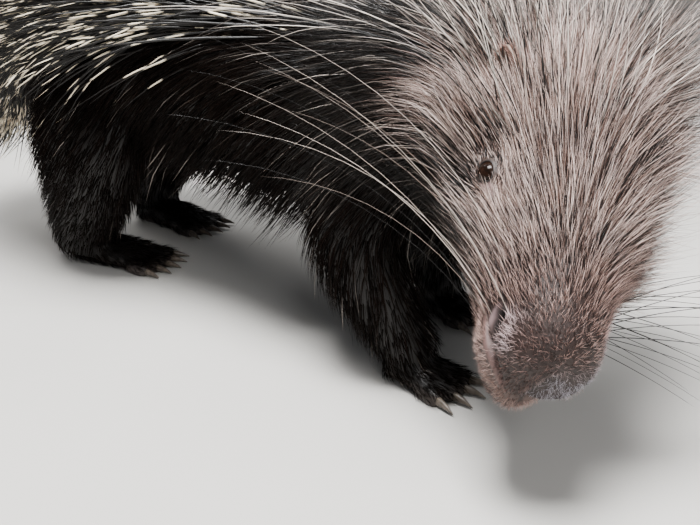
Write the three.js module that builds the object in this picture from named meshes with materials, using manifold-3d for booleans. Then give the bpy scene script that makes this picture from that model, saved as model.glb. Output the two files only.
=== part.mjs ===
// An adult crested porcupine, life size, standing with its head lowered and turned to its right.
// Millimetres, +X forward, +Y the animal's left, +Z up, floor at z = 0.
import * as THREE from 'three';
import { mergeVertices } from 'three/addons/utils/BufferGeometryUtils.js';
import Module from 'manifold-3d';

const wasm = await Module();
wasm.setup();

const { degToRad, lerp, clamp } = THREE.MathUtils;

// Clearances
const GAP = 0.3;
const CLEAR = 0.45;
// How far a surface may move when triangles that add nothing are merged
const SHAPE_TOLERANCE = 0.4;
const CUT_TOLERANCE = 0.12;
const JOIN_TOLERANCE = 0.04;

// Trunk: x, z, half width, height above the centre line, depth below it
const TRUNK = [
  [-235, 180, 15, 15, 15],
  [-218, 180, 52, 50, 50],
  [-175, 184, 86, 74, 62],
  [-100, 189, 103, 87, 70],
  [-20, 190, 106, 88, 68],
  [70, 184, 102, 82, 77],
  [140, 178, 94, 78, 83],
  [200, 174, 82, 74, 84],
  [250, 176, 64, 64, 66],
];
// The trunk's centre line bends to the animal's right at both ends
const TRUNK_SHIFT = 12;
const TRUNK_SLOPE = 0.02;
const TRUNK_BEND = 0.00052;

// Neck: x, y, z, half width, height above, depth below
const NECK = [
  [160, 2, 176, 80, 76, 86],
  [220, -12, 186, 76, 74, 80],
  [266, -27, 197, 70, 66, 72],
  [310, -46, 197, 55, 47, 55],
  [328, -64, 176, 44, 38, 44],
];

// Head: its own frame has x to the nose, y to the animal's left, z to the crown
const HEAD_AT = new THREE.Vector3(340, -81.5, 158.5);
const HEAD_YAW = degToRad(-56.6);
const HEAD_PITCH = degToRad(40);
const HEAD_ROLL = degToRad(-20.9);
const HEAD = [
  [-85, 48, 32, 38],
  [-60, 56, 44, 50],
  [-30, 55, 49, 52],
  [0, 45.5, 48.5, 50],
  [30, 39, 46, 46],
  [60, 35, 41.5, 42],
  [86, 32.5, 35, 41],
  [104, 28.5, 25, 37],
  [114, 20, 11, 25],
];

// Where the body is parted into torso, neck and head
const NECK_CUT_AT = new THREE.Vector3(222, -12, 186);
const NECK_CUT_FACING = new THREE.Vector3(0.94, -0.3, 0.16).normalize();
const HEAD_CUT_X = -52;

// Face
const EYE_AT = new THREE.Vector3(0, 40.5, 17);
const EYE_RADIUS = 7.2;
const LID_RADIUS = 9.8;
const EAR_AT = new THREE.Vector3(-50, 37, 38);
const EAR_HEIGHT = 28;
const EAR_WIDTH = 21;
const EAR_THICK = 11;
const EAR_WALL = 2;
// How far up the ear its middle lies, as a share of its height
const EAR_RAISED = 0.3;
// Directions on the left of the head, mirrored for its right: the ear's length and opening, the eye's
// facing, the nostril's slit and its facing
const EAR_TALL = [-0.62, 0.52, 0.6];
const EAR_OPENING = [0.55, 0.8, 0.1];
const EYE_FACING = [0.08, 0.9, 0.42];
const NOSTRIL_SLIT = [0.75, 0.05, -0.66];
const NOSTRIL_FACING = [0.25, 0.95, 0.2];
// Half sizes of the opening between the lids
const LID_OPENING = [7.6, 5];
const NOSTRIL_AT = new THREE.Vector3(88, 32.5, 4);
const NOSTRIL_RADII = new THREE.Vector3(10, 1.9, 7);
const LIP_PAD_AT = new THREE.Vector3(88, 13.5, -12);
const LIP_PAD_RADII = new THREE.Vector3(27, 19.5, 24);
const CHIN_AT = new THREE.Vector3(91, 0, -39);
const CHIN_RADII = new THREE.Vector3(24, 19, 17);
const JAW_AT = new THREE.Vector3(54, 0, -32);
const JAW_RADII = new THREE.Vector3(50, 25, 21);
const MOUTH_Z = -27;
const MOUTH_OPEN = 1.6;
const MOUTH_DEPTH = 5;
const MOUTH_SLAB = { middle: 90, length: 84, width: 140 };
const CLEFT_AT = new THREE.Vector3(114, 0, -10);
const CLEFT_RADII = new THREE.Vector3(9, 1.6, 17);

// Legs: x, y, z, half width across, half width fore and aft, from the body down to the ankle
const LEGS = {
  hind_leg_right: {
    bones: [
      [-104, -60, 175, 45, 70],
      [-103, -82, 130, 40, 66],
      [-117, -82, 85, 33, 51],
      [-143, -72, 44, 29, 37],
      [-149, -69, 18, 26, 31],
    ],
    heel: [-160, -68],
    ball: [-87, -42],
    toes: 5,
  },
  hind_leg_left: {
    bones: [
      [-118, 60, 175, 45, 65],
      [-142, 80, 130, 40, 57],
      [-180, 78, 85, 32, 45],
      [-197, 65, 44, 26, 31],
      [-193, 58, 18, 24, 25],
    ],
    heel: [-205, 52],
    ball: [-131, 62],
    toes: 5,
  },
  front_leg_right: {
    bones: [
      [206, -55, 150, 40, 45],
      [201, -76, 110, 32, 39],
      [221, -78, 65, 26, 29],
      [241, -70, 28, 21, 22],
      [248, -66, 16, 21, 16],
    ],
    heel: [228, -68],
    ball: [272, -70],
    toes: 4,
  },
  front_leg_left: {
    bones: [
      [186, 45, 150, 40, 45],
      [168, 64, 110, 32, 38],
      [174, 60, 65, 25, 28],
      [191, 52, 28, 21, 22],
      [198, 48, 16, 21, 16],
    ],
    heel: [178, 48],
    ball: [222, 44],
    toes: 4,
  },
};
const HIND_FOOT = { heelHalf: 19, ballHalf: 25, heelHeight: 34, ballHeight: 19, toe: 21 };
const FRONT_FOOT = { heelHalf: 17, ballHalf: 21, heelHeight: 28, ballHeight: 17, toe: 17 };
// Stations of a foot as shares of its length, and how much smaller its ends are
const FOOT_SHARES = [0, 0.12, 0.5, 0.88, 1];
const FOOT_ENDS = 0.7;
const SOLE_DEPTH = 3;
// A toe starts behind the ball of the foot and reaches ahead, in shares of the toe's length; outer toes less
const TOE_START = 0.5;
const TOE_REACH = 1.5;
const TOE_SHORTENING = 0.7;
const TOE_FAN = degToRad(34);
const TOE_RADIUS = 7;
const TOE_TIP = 4.8;
const CLAW_RADIUS = 3.4;
const CLAW_LENGTH = 15;
const CLAW_TIP_HEIGHT = 2.2;
// Claw stations: share of the length and share of the radius
const CLAW_TAPER = [[0, 1], [0.5, 0.75], [1, 0.2]];

// Tail: x, y, z, radius
const TAIL = [
  [-205, -16, 176, 24],
  [-236, -25, 160, 20],
  [-258, -32, 146, 14],
  [-272, -37, 137, 7],
];

// Rings and sides of the lofts, and sides and rings of the rounded forms
const LOFT_MESH = {
  trunk: [17, 22],
  neck: [8, 20],
  head: [15, 20],
  mouth: [8, 12],
  leg: [8, 12],
  foot: [6, 10],
  toe: [3, 7],
  claw: [3, 5],
  tail: [5, 10],
};
const BALL_MESH = {
  pad: [12, 7],
  chin: [10, 6],
  jaw: [10, 6],
  lids: [12, 7],
  eye: [12, 8],
  slit: [8, 6],
  ear: [10, 8],
  hollow: [8, 6],
};

// Coat: how steeply a root enters the skin, and width along the length as shares of both
const ROOT_LIFT = degToRad(38);
const QUILL_PROFILE = [[0.35, 1], [0.72, 0.72], [1, 0]];
const HAIR_PROFILE = [[0.22, 0.95], [0.5, 0.8], [0.78, 0.6], [1, 0]];
const LOCK_PROFILE = [[0.34, 1], [0.7, 0.78], [1, 0]];
const WHISKER_RADIUS = 0.7;
const EYE_ROOM = 18;
// Ways to clear a neighbour, tried in turn: degrees raised, share of the length kept, degrees turned
const TRIES = [
  [0, 1, 0],
  [7, 1, 0],
  [14, 0.95, 0],
  [10, 0.9, 20],
  [10, 0.9, -20],
  [24, 0.85, 0],
  [10, 0.6, 0],
];

// Colours
const COLOURS = {
  coat: { color: '#2b2421', roughness: 0.62, metalness: 0 },
  face: { color: '#5d524b', roughness: 0.6, metalness: 0 },
  leg: { color: '#1d1816', roughness: 0.7, metalness: 0 },
  ear: { color: '#8a7263', roughness: 0.7, metalness: 0 },
  eye: { color: '#1a0f0a', roughness: 0.08, metalness: 0 },
  claw: { color: '#8d8273', roughness: 0.4, metalness: 0 },
};

function seeded(seed) {
  let state = seed;
  return () => {
    state = (state * 1664525 + 1013904223) % 4294967296;
    return state / 4294967296;
  };
}
const random = seeded(29);
const about = (value, share) => value * (1 + share * (2 * random() - 1));
const swing = (angle) => angle * (2 * random() - 1);

// Stations from one end to the other, each a centre and three half sizes, joined by a smooth curve
class Loft {
  constructor(stations, up) {
    this.stations = stations;
    this.up = up;
  }

  station(index) {
    const { stations } = this;
    const last = stations.length - 1;
    if (index < 0) return stations[0].map((v, k) => 2 * v - stations[1][k]);
    if (index > last) return stations[last].map((v, k) => 2 * v - stations[last - 1][k]);
    return stations[index];
  }

  sizes(s) {
    const last = this.stations.length - 1;
    const u = clamp(s, 0, 1) * last;
    const i = Math.min(Math.floor(u), last - 1);
    const t = u - i;
    const [a, b, c, d] = [-1, 0, 1, 2].map((k) => this.station(i + k));
    return b.map((v, k) => {
      const linear = c[k] - a[k];
      const square = 2 * a[k] - 5 * v + 4 * c[k] - d[k];
      const cube = 3 * (v - c[k]) + d[k] - a[k];
      return v + 0.5 * t * (linear + t * (square + t * cube));
    });
  }

  centre(s) {
    const [x, y, z] = this.sizes(s);
    return new THREE.Vector3(x, y, z);
  }

  tangent(s) {
    const step = 0.005;
    return this.centre(Math.min(s + step, 1)).sub(this.centre(Math.max(s - step, 0))).normalize();
  }

  point(s, angle, extra = 0) {
    const [, , , half, top, bottom] = this.sizes(s);
    const ahead = this.tangent(s);
    const side = this.up.clone().cross(ahead).normalize();
    const above = ahead.clone().cross(side);
    const height = Math.sin(angle) >= 0 ? top : bottom;
    return this.centre(s)
      .addScaledVector(side, Math.cos(angle) * (half + extra))
      .addScaledVector(above, Math.sin(angle) * (height + extra));
  }

  normal(s, angle) {
    const step = 0.01;
    const along = this.point(Math.min(s + step, 1), angle).sub(this.point(Math.max(s - step, 0), angle));
    const around = this.point(s, angle + step).sub(this.point(s, angle - step));
    return around.cross(along).normalize();
  }

  solid([rings, sides], extra = 0) {
    const rows = [];
    for (let r = 0; r < rings; r += 1) {
      const row = [];
      for (let k = 0; k < sides; k += 1) {
        row.push(this.point(r / (rings - 1), (2 * Math.PI * k) / sides, extra));
      }
      rows.push(row);
    }
    return solidFromRows(rows);
  }
}

// Rows of points round a length, closed by a fan at each end; a row of one point is a tip
function solidFromRows(rows) {
  const points = rows.flat();
  const starts = rows.map((row, r) => rows.slice(0, r).reduce((sum, other) => sum + other.length, 0));
  const faces = [];
  for (let r = 0; r + 1 < rows.length; r += 1) {
    const sides = rows[r].length;
    for (let k = 0; k < sides; k += 1) {
      const next = (k + 1) % sides;
      const [a, b] = [starts[r] + k, starts[r] + next];
      if (rows[r + 1].length === 1) {
        faces.push([a, b, starts[r + 1]]);
      } else {
        const [c, d] = [starts[r + 1] + next, starts[r + 1] + k];
        faces.push([a, b, d], [b, c, d]);
      }
    }
  }
  const capStart = rows[0].length;
  for (let k = 1; k + 1 < capStart; k += 1) faces.push([0, k + 1, k]);
  const lastRow = rows[rows.length - 1].length;
  const from = starts[rows.length - 1];
  for (let k = 1; k + 1 < lastRow; k += 1) faces.push([from, from + k, from + k + 1]);
  return new wasm.Manifold(new wasm.Mesh({
    numProp: 3,
    vertProperties: new Float32Array(points.flatMap((p) => p.toArray())),
    triVerts: new Uint32Array(faces.flat()),
  }));
}

function solidFromGeometry(geometry) {
  const bare = geometry.clone();
  bare.deleteAttribute('normal');
  bare.deleteAttribute('uv');
  const merged = mergeVertices(bare, 1e-4);
  return new wasm.Manifold(new wasm.Mesh({
    numProp: 3,
    vertProperties: new Float32Array(merged.attributes.position.array),
    triVerts: new Uint32Array(merged.index.array),
  }));
}

function placed(geometry, centre, axes) {
  const matrix = new THREE.Matrix4().makeBasis(...axes).setPosition(centre);
  return solidFromGeometry(geometry.applyMatrix4(matrix));
}

function ellipsoid(centre, radii, axes, [around, down]) {
  const geometry = new THREE.SphereGeometry(1, around, down).scale(radii.x, radii.y, radii.z);
  return placed(geometry, centre, axes);
}

function box(centre, size, axes) {
  return placed(new THREE.BoxGeometry(size.x, size.y, size.z), centre, axes);
}

function joined(solids) {
  return wasm.Manifold.union(solids);
}

function largest(solid) {
  return solid.decompose().reduce((a, b) => (b.volume() > a.volume() ? b : a));
}

function part(solid, facing, at, gap) {
  return solid.trimByPlane(facing.toArray(), facing.dot(at) + gap);
}

// Frames
const UP = new THREE.Vector3(0, 0, 1);
const FORWARD = new THREE.Vector3(1, 0, 0);
const LEFT = new THREE.Vector3(0, 1, 0);
const headTurn = new THREE.Matrix4().makeRotationFromEuler(
  new THREE.Euler(HEAD_ROLL, HEAD_PITCH, HEAD_YAW, 'ZYX'),
);
const noseward = new THREE.Vector3().setFromMatrixColumn(headTurn, 0);
const cheekward = new THREE.Vector3().setFromMatrixColumn(headTurn, 1);
const crownward = new THREE.Vector3().setFromMatrixColumn(headTurn, 2);
const headAxes = [noseward, cheekward, crownward];

function headPlace(local, side = 1) {
  return new THREE.Vector3(local.x, side * local.y, local.z).applyMatrix4(headTurn).add(HEAD_AT);
}

function headDirection([x, y, z], side = 1) {
  return new THREE.Vector3(x, side * y, z).applyMatrix4(headTurn).normalize();
}

// Lofts
const trunkLoft = new Loft(
  TRUNK.map(([x, z, half, top, bottom]) => {
    const y = TRUNK_SHIFT + TRUNK_SLOPE * x - TRUNK_BEND * x * x;
    return [x, y, z, half, top, bottom];
  }),
  UP,
);
const neckLoft = new Loft(NECK, UP);
const headLoft = new Loft(
  HEAD.map(([x, half, top, bottom]) => {
    const at = headPlace(new THREE.Vector3(x, 0, 0));
    return [...at.toArray(), half, top, bottom];
  }),
  crownward,
);
const tailLoft = new Loft(TAIL.map(([x, y, z, radius]) => [x, y, z, radius, radius, radius]), UP);

const nodes = new Map();
function addNode(name, solid, look) {
  nodes.set(name, { solid: largest(solid), look });
}

// Face: lip pads, chin and jaw, eye sockets with lids, nostrils, mouth line and the groove up the lip
function eyeAxes(side) {
  const out = headDirection(EYE_FACING, side);
  const along = noseward.clone().addScaledVector(out, -noseward.dot(out)).normalize();
  return [along, out.clone().cross(along), out];
}

function addLids(head, side) {
  const lids = new THREE.Vector3(LID_RADIUS + 1.5, LID_RADIUS, LID_RADIUS);
  return head.add(ellipsoid(headPlace(EYE_AT, side), lids, eyeAxes(side), BALL_MESH.lids));
}

function cutEyeAndNostril(head, side) {
  const centre = headPlace(EYE_AT, side);
  const axes = eyeAxes(side);
  const lidEdge = centre.clone().addScaledVector(axes[2], LID_RADIUS);
  const split = ellipsoid(lidEdge, new THREE.Vector3(...LID_OPENING, LID_RADIUS), axes, BALL_MESH.eye);
  const socket = EYE_RADIUS + GAP;
  const hole = ellipsoid(centre, new THREE.Vector3(socket, socket, socket), axes, BALL_MESH.eye);
  const slit = headDirection(NOSTRIL_SLIT, side);
  const across = headDirection(NOSTRIL_FACING, side).cross(slit).normalize();
  const slitAxes = [slit, across, slit.clone().cross(across)];
  const nostril = ellipsoid(headPlace(NOSTRIL_AT, side), NOSTRIL_RADII, slitAxes, BALL_MESH.slit);
  return head.subtract(split).subtract(hole).subtract(nostril);
}

function faceDetails(base) {
  const pads = [1, -1].map((side) => (
    ellipsoid(headPlace(LIP_PAD_AT, side), LIP_PAD_RADII, headAxes, BALL_MESH.pad)
  ));
  const chin = ellipsoid(headPlace(CHIN_AT), CHIN_RADII, headAxes, BALL_MESH.chin);
  const jaw = ellipsoid(headPlace(JAW_AT), JAW_RADII, headAxes, BALL_MESH.jaw);
  let head = joined([base, ...pads, chin, jaw]);
  head = addLids(addLids(head, 1), -1).asOriginal().simplify(SHAPE_TOLERANCE);
  head = cutEyeAndNostril(cutEyeAndNostril(head, 1), -1);
  const mouthAt = headPlace(new THREE.Vector3(MOUTH_SLAB.middle, 0, MOUTH_Z));
  const mouthSize = new THREE.Vector3(MOUTH_SLAB.length, MOUTH_SLAB.width, MOUTH_OPEN);
  const slab = box(mouthAt, mouthSize, headAxes);
  const groove = slab.subtract(headLoft.solid(LOFT_MESH.mouth, -MOUTH_DEPTH));
  const cleft = ellipsoid(headPlace(CLEFT_AT), CLEFT_RADII, headAxes, BALL_MESH.slit);
  return head.subtract(groove).subtract(cleft).asOriginal().simplify(CUT_TOLERANCE);
}

// The body is made whole and parted by two thin cuts
function addBody() {
  const whole = joined([
    trunkLoft.solid(LOFT_MESH.trunk),
    neckLoft.solid(LOFT_MESH.neck),
    faceDetails(headLoft.solid(LOFT_MESH.head)),
  ]);
  const back = NECK_CUT_FACING.clone().negate();
  const torso = part(whole, back, NECK_CUT_AT, 0);
  const ahead = part(whole, NECK_CUT_FACING, NECK_CUT_AT, GAP);
  const occiput = headPlace(new THREE.Vector3(HEAD_CUT_X, 0, 0));
  addNode('torso', torso, COLOURS.coat);
  addNode('neck', part(ahead, noseward.clone().negate(), occiput, 0), COLOURS.coat);
  addNode('head', part(ahead, noseward, occiput, GAP), COLOURS.face);
}

function wholeWithGap() {
  return joined([
    trunkLoft.solid(LOFT_MESH.trunk, GAP),
    neckLoft.solid(LOFT_MESH.neck, GAP),
    headLoft.solid(LOFT_MESH.head, GAP),
  ]);
}

function addEyes() {
  for (const [side, hand] of [[1, 'left'], [-1, 'right']]) {
    const radii = new THREE.Vector3(EYE_RADIUS, EYE_RADIUS, EYE_RADIUS);
    const ball = ellipsoid(headPlace(EYE_AT, side), radii, eyeAxes(side), BALL_MESH.eye);
    addNode(`eye_${hand}`, ball, COLOURS.eye);
  }
}

function addEars(body) {
  for (const [side, hand] of [[1, 'left'], [-1, 'right']]) {
    const tall = headDirection(EAR_TALL, side);
    const open = headDirection(EAR_OPENING, side);
    open.addScaledVector(tall, -open.dot(tall)).normalize();
    const wide = open.clone().cross(tall);
    const axes = [wide, open, tall];
    const root = headPlace(EAR_AT, side);
    const centre = root.clone().addScaledVector(tall, EAR_HEIGHT * EAR_RAISED);
    const outer = ellipsoid(
      centre,
      new THREE.Vector3(EAR_WIDTH / 2, EAR_THICK / 2, EAR_HEIGHT / 2),
      axes,
      BALL_MESH.ear,
    );
    const hollow = ellipsoid(
      centre.clone().addScaledVector(open, EAR_THICK / 2 + EAR_WALL),
      new THREE.Vector3(EAR_WIDTH / 2 - EAR_WALL, EAR_THICK - EAR_WALL, EAR_HEIGHT / 2 - EAR_WALL),
      axes,
      BALL_MESH.hollow,
    );
    addNode(`ear_${hand}`, outer.subtract(hollow).subtract(body), COLOURS.ear);
  }
}

const shanks = new Map();

// A foot with a flat sole, its toes fanned out ahead, and a claw in front of each toe
function addLeg(name, leg, body) {
  const foot = name.startsWith('hind') ? HIND_FOOT : FRONT_FOOT;
  const shank = new Loft(leg.bones.map(([x, y, z, across, fore]) => [x, y, z, across, fore, fore]), FORWARD);
  shanks.set(name, shank);
  const heel = new THREE.Vector3(leg.heel[0], leg.heel[1], foot.heelHeight / 2);
  const ball = new THREE.Vector3(leg.ball[0], leg.ball[1], foot.ballHeight / 2);
  const footStation = (share) => {
    const at = heel.clone().lerp(ball, share);
    const half = lerp(foot.heelHalf, foot.ballHalf, share);
    const rounded = share === 0 || share === 1 ? FOOT_ENDS : 1;
    const height = lerp(foot.heelHeight, foot.ballHeight, share);
    return [at.x, at.y, at.z, half * rounded, (height * rounded) / 2, at.z + SOLE_DEPTH];
  };
  const sole = new Loft(FOOT_SHARES.map(footStation), UP);
  const ahead = ball.clone().sub(heel).setZ(0).normalize();
  const side = UP.clone().cross(ahead);
  const pieces = [shank.solid(LOFT_MESH.leg), sole.solid(LOFT_MESH.foot)];
  for (let k = 0; k < leg.toes; k += 1) {
    const spread = k / (leg.toes - 1) - 0.5;
    const direction = ahead.clone().applyAxisAngle(UP, spread * TOE_FAN);
    const start = ball.clone().addScaledVector(side, spread * 2 * (foot.ballHalf - TOE_RADIUS));
    start.addScaledVector(ahead, -foot.toe * TOE_START).setZ(TOE_RADIUS);
    const reach = foot.toe * TOE_REACH * (1 - TOE_SHORTENING * spread * spread);
    const toeStation = (share, radius) => {
      const at = start.clone().addScaledVector(direction, reach * share);
      return [at.x, at.y, lerp(TOE_RADIUS, TOE_TIP, share), radius, radius, radius + 2];
    };
    const tip = toeStation(1, TOE_TIP);
    const toe = new Loft([toeStation(0, TOE_RADIUS), toeStation(0.6, TOE_RADIUS), tip], UP);
    pieces.push(toe.solid(LOFT_MESH.toe));
    const base = new THREE.Vector3(tip[0], tip[1], tip[2]).addScaledVector(direction, GAP);
    const clawStation = (share, radius) => {
      const at = base.clone().addScaledVector(direction, CLAW_LENGTH * share);
      const height = lerp(tip[2], CLAW_TIP_HEIGHT, share * share);
      return [at.x, at.y, height, radius, radius, radius];
    };
    const claw = new Loft(CLAW_TAPER.map(([share, scale]) => clawStation(share, CLAW_RADIUS * scale)), UP);
    addNode(`${name.replace('leg', 'claw')}_${k + 1}`, claw.solid(LOFT_MESH.claw), COLOURS.claw);
  }
  const aboveFloor = joined(pieces).asOriginal().simplify(SHAPE_TOLERANCE).trimByPlane(UP.toArray(), 0);
  addNode(name, aboveFloor.subtract(body), COLOURS.leg);
}

function addTail(body) {
  addNode('tail', tailLoft.solid(LOFT_MESH.tail).subtract(body), COLOURS.coat);
}

// A quill, bristle, whisker or lock: a tapered spike that leaves the skin and bends along the lie of the coat
function spike(form, swell = 0) {
  const { root, normal, flow, length, width, thick, lift, droop, sway, sides } = form;
  const across = normal.clone().cross(flow).normalize();
  const heading = (share) => {
    const raised = lift - droop * share;
    const turned = sway * share;
    return flow.clone().multiplyScalar(Math.cos(raised) * Math.cos(turned))
      .addScaledVector(across, Math.cos(raised) * Math.sin(turned))
      .addScaledVector(normal, Math.sin(raised));
  };
  const ring = (at, direction, scale) => {
    const sideways = across.clone().addScaledVector(direction, -across.dot(direction)).normalize();
    const over = direction.clone().cross(sideways);
    const points = [];
    for (let k = 0; k < sides; k += 1) {
      const angle = (2 * Math.PI * k) / sides;
      points.push(at.clone()
        .addScaledVector(sideways, Math.cos(angle) * (scale * width / 2 + swell))
        .addScaledVector(over, Math.sin(angle) * (scale * thick / 2 + swell)));
    }
    return points;
  };
  const rooted = Math.max(lift, form.rootLift ?? ROOT_LIFT);
  const down = flow.clone().multiplyScalar(-Math.cos(rooted)).addScaledVector(normal, -Math.sin(rooted));
  const sunk = root.clone().addScaledVector(down, form.sink);
  const rows = [ring(sunk, down.clone().negate(), form.rootScale)];
  const at = root.clone();
  let reached = 0;
  for (const [share, scale] of form.profile) {
    at.addScaledVector(heading((reached + share) / 2), length * (share - reached));
    reached = share;
    const direction = heading(share);
    rows.push(scale > 0 ? ring(at, direction, scale) : [at.clone().addScaledVector(direction, swell)]);
  }
  return solidFromRows(rows);
}

function boxesMeet(a, b) {
  return [0, 1, 2].every((k) => a.min[k] < b.max[k] && b.min[k] < a.max[k]);
}

// Forms of one node, each bent, raised or shortened until it is clear of every other node, or left out
class Coat {
  constructor(name) {
    this.name = name;
    this.forms = [];
    this.others = [...nodes].filter(([other]) => other !== name).map(([, node]) => (
      { solid: node.solid, bounds: node.solid.boundingBox() }
    ));
  }

  isClear(form) {
    const swollen = spike(form, CLEAR);
    const bounds = swollen.boundingBox();
    if (bounds.min[2] < CLEAR) return false;
    return this.others.every((other) => (
      !boxesMeet(bounds, other.bounds) || swollen.intersect(other.solid).isEmpty()
    ));
  }

  add(form) {
    for (const [raise, shorten, turn] of TRIES) {
      const tried = {
        ...form,
        lift: form.lift + degToRad(raise),
        length: form.length * shorten,
        sway: form.sway + degToRad(turn),
      };
      if (this.isClear(tried)) {
        this.forms.push(spike(tried));
        return;
      }
    }
  }

  finish() {
    const node = nodes.get(this.name);
    node.solid = largest(joined([node.solid, ...this.forms])).asOriginal().simplify(JOIN_TOLERANCE);
  }
}

// The lie of the coat at a place on a loft: toward the tail, or down a leg, and falling a little
function lie(loft, s, angle, fall, sense = -1) {
  const normal = loft.normal(s, angle);
  const flow = loft.tangent(s).multiplyScalar(sense).addScaledVector(UP, -fall);
  flow.addScaledVector(normal, -flow.dot(normal)).normalize();
  return { root: loft.point(s, angle), normal, flow };
}

// Staggered rows of forms over a stretch of a loft, between two angles round it
function cover(coat, loft, { from, to, rows, low, high, apart, fall, sense, make }) {
  for (let r = 0; r < rows; r += 1) {
    const s = lerp(from, to, (r + 0.5) / rows);
    const [, , , half, top] = loft.sizes(s);
    const span = degToRad(high - low);
    const count = Math.max(1, Math.round((span * (half + top)) / 2 / apart));
    for (let k = 0; k < count; k += 1) {
      const share = (k + 0.25 + 0.5 * (r % 2) + 0.12 * swing(1)) / count;
      const angle = degToRad(low) + span * share;
      const along = s + (0.2 * swing(1) * (to - from)) / rows;
      const place = lie(loft, along, angle, fall, sense);
      const form = make(place, angle, along);
      if (form) coat.add({ ...place, ...form });
    }
  }
}

// Lengths in millimetres, angles in degrees; each value varies a little from one form to the next
const quill = ({ length, lift, droop = 12, radius = 2.4 }) => ({
  length: about(length, 0.16),
  width: 2 * about(radius, 0.12),
  thick: 2 * radius,
  lift: degToRad(about(lift, 0.2)),
  droop: degToRad(about(droop, 0.4)),
  sway: degToRad(swing(9)),
  sides: 3,
  sink: 14,
  rootScale: 0.8,
  profile: QUILL_PROFILE,
});

const bristle = ({ length, lift, droop, radius = 1.5 }) => ({
  length: about(length, 0.16),
  width: 2 * radius,
  thick: 2 * radius,
  lift: degToRad(about(lift, 0.12)),
  droop: degToRad(about(droop, 0.2)),
  sway: degToRad(swing(12)),
  sides: 3,
  sink: 12,
  rootScale: 0.9,
  profile: HAIR_PROFILE,
});

const lock = ({ length, width, thick, lift, droop }) => ({
  length: about(length, 0.12),
  width: about(width, 0.14),
  thick: about(thick, 0.15),
  lift: degToRad(about(lift, 0.15)),
  droop: degToRad(about(droop, 0.2)),
  sway: degToRad(swing(8)),
  sides: 4,
  sink: 13,
  rootScale: 0.75,
  profile: LOCK_PROFILE,
});

// Whiskers: the right ones are swept back in arcs, the left ones stand out to the side.
// Headings at root and tip are in the head's frame, for the highest and the lowest row.
const WHISKER_FANS = [
  {
    side: -1,
    highest: { start: [-0.87, 0.47, 0.09], end: [-0.1, 0.97, 0.02], length: 232 },
    lowest: { start: [-0.8, 0.62, 0.05], end: [0.25, 1, -0.1], length: 215 },
  },
  {
    side: 1,
    highest: { start: [-0.45, 1, 0.25], end: [0, 1, 0.1], length: 150 },
    lowest: { start: [0.2, 1, -0.25], end: [0.5, 0.8, -0.3], length: 115 },
  },
];
const WHISKER_ROWS = 3;
const WHISKERS_A_ROW = 3;
const WHISKER_ROOTS = { from: 0.71, to: 0.62, high: degToRad(20), low: degToRad(-15) };

function addWhiskers(coat) {
  const { from, to, high, low } = WHISKER_ROOTS;
  for (const { side, highest, lowest } of WHISKER_FANS) {
    const between = (key, share) => (
      headDirection(highest[key].map((value, i) => lerp(value, lowest[key][i], share)), side)
    );
    for (let row = 0; row < WHISKER_ROWS; row += 1) {
      for (let k = 0; k < WHISKERS_A_ROW; k += 1) {
        const share = (row + 0.3 * swing(1)) / (WHISKER_ROWS - 1);
        const angle = lerp(high, low, row / (WHISKER_ROWS - 1));
        const start = between('start', share);
        const end = between('end', share);
        const spread = end.clone().addScaledVector(start, -end.dot(start)).normalize();
        coat.add({
          root: headLoft.point(lerp(from, to, k / (WHISKERS_A_ROW - 1)), side > 0 ? angle : Math.PI - angle),
          normal: spread,
          flow: start,
          length: about(lerp(highest.length, lowest.length, share), 0.08),
          width: 2 * WHISKER_RADIUS,
          thick: 2 * WHISKER_RADIUS,
          lift: 0,
          droop: -start.angleTo(end),
          sway: degToRad(swing(5)),
          sides: 3,
          sink: 14,
          rootLift: 0,
          rootScale: 1,
          profile: HAIR_PROFILE,
        });
      }
    }
  }
}

function addHeadCoat() {
  const coat = new Coat('head');
  addWhiskers(coat);
  const eyes = [1, -1].map((side) => headPlace(EYE_AT, side));
  const nearEye = (place) => eyes.some((eye) => eye.distanceTo(place.root) < EYE_ROOM);
  const [nape, muzzle] = [0.2, 0.74];
  cover(coat, headLoft, {
    from: 0.19,
    to: 0.4,
    rows: 3,
    low: 35,
    high: 145,
    apart: 25,
    fall: 0,
    make: () => bristle({ length: 150, lift: 40, droop: 34 }),
  });
  cover(coat, headLoft, {
    from: nape,
    to: muzzle,
    rows: 5,
    low: -50,
    high: 230,
    apart: 28,
    fall: 0,
    make: (place, angle, s) => {
      if (nearEye(place)) return null;
      const share = (muzzle - s) / (muzzle - nape);
      const [low, high] = angle < degToRad(70) ? [26, 42] : [14, 24];
      return lock({
        length: lerp(30, 74, share),
        width: lerp(15, 20, share),
        thick: 4.8,
        lift: lerp(low, high, share),
        droop: 20,
      });
    },
  });
  coat.finish();
}

function addNeckCoat() {
  const coat = new Coat('neck');
  cover(coat, neckLoft, {
    from: 0.36,
    to: 0.84,
    rows: 4,
    low: 48,
    high: 132,
    apart: 30,
    fall: 0,
    make: () => bristle({ length: 225, lift: 36, droop: 38 }),
  });
  cover(coat, neckLoft, {
    from: 0.36,
    to: 0.84,
    rows: 4,
    low: -62,
    high: 242,
    apart: 38,
    fall: 0.25,
    make: () => lock({ length: 104, width: 31, thick: 6, lift: 22, droop: 26 }),
  });
  coat.finish();
}

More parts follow.
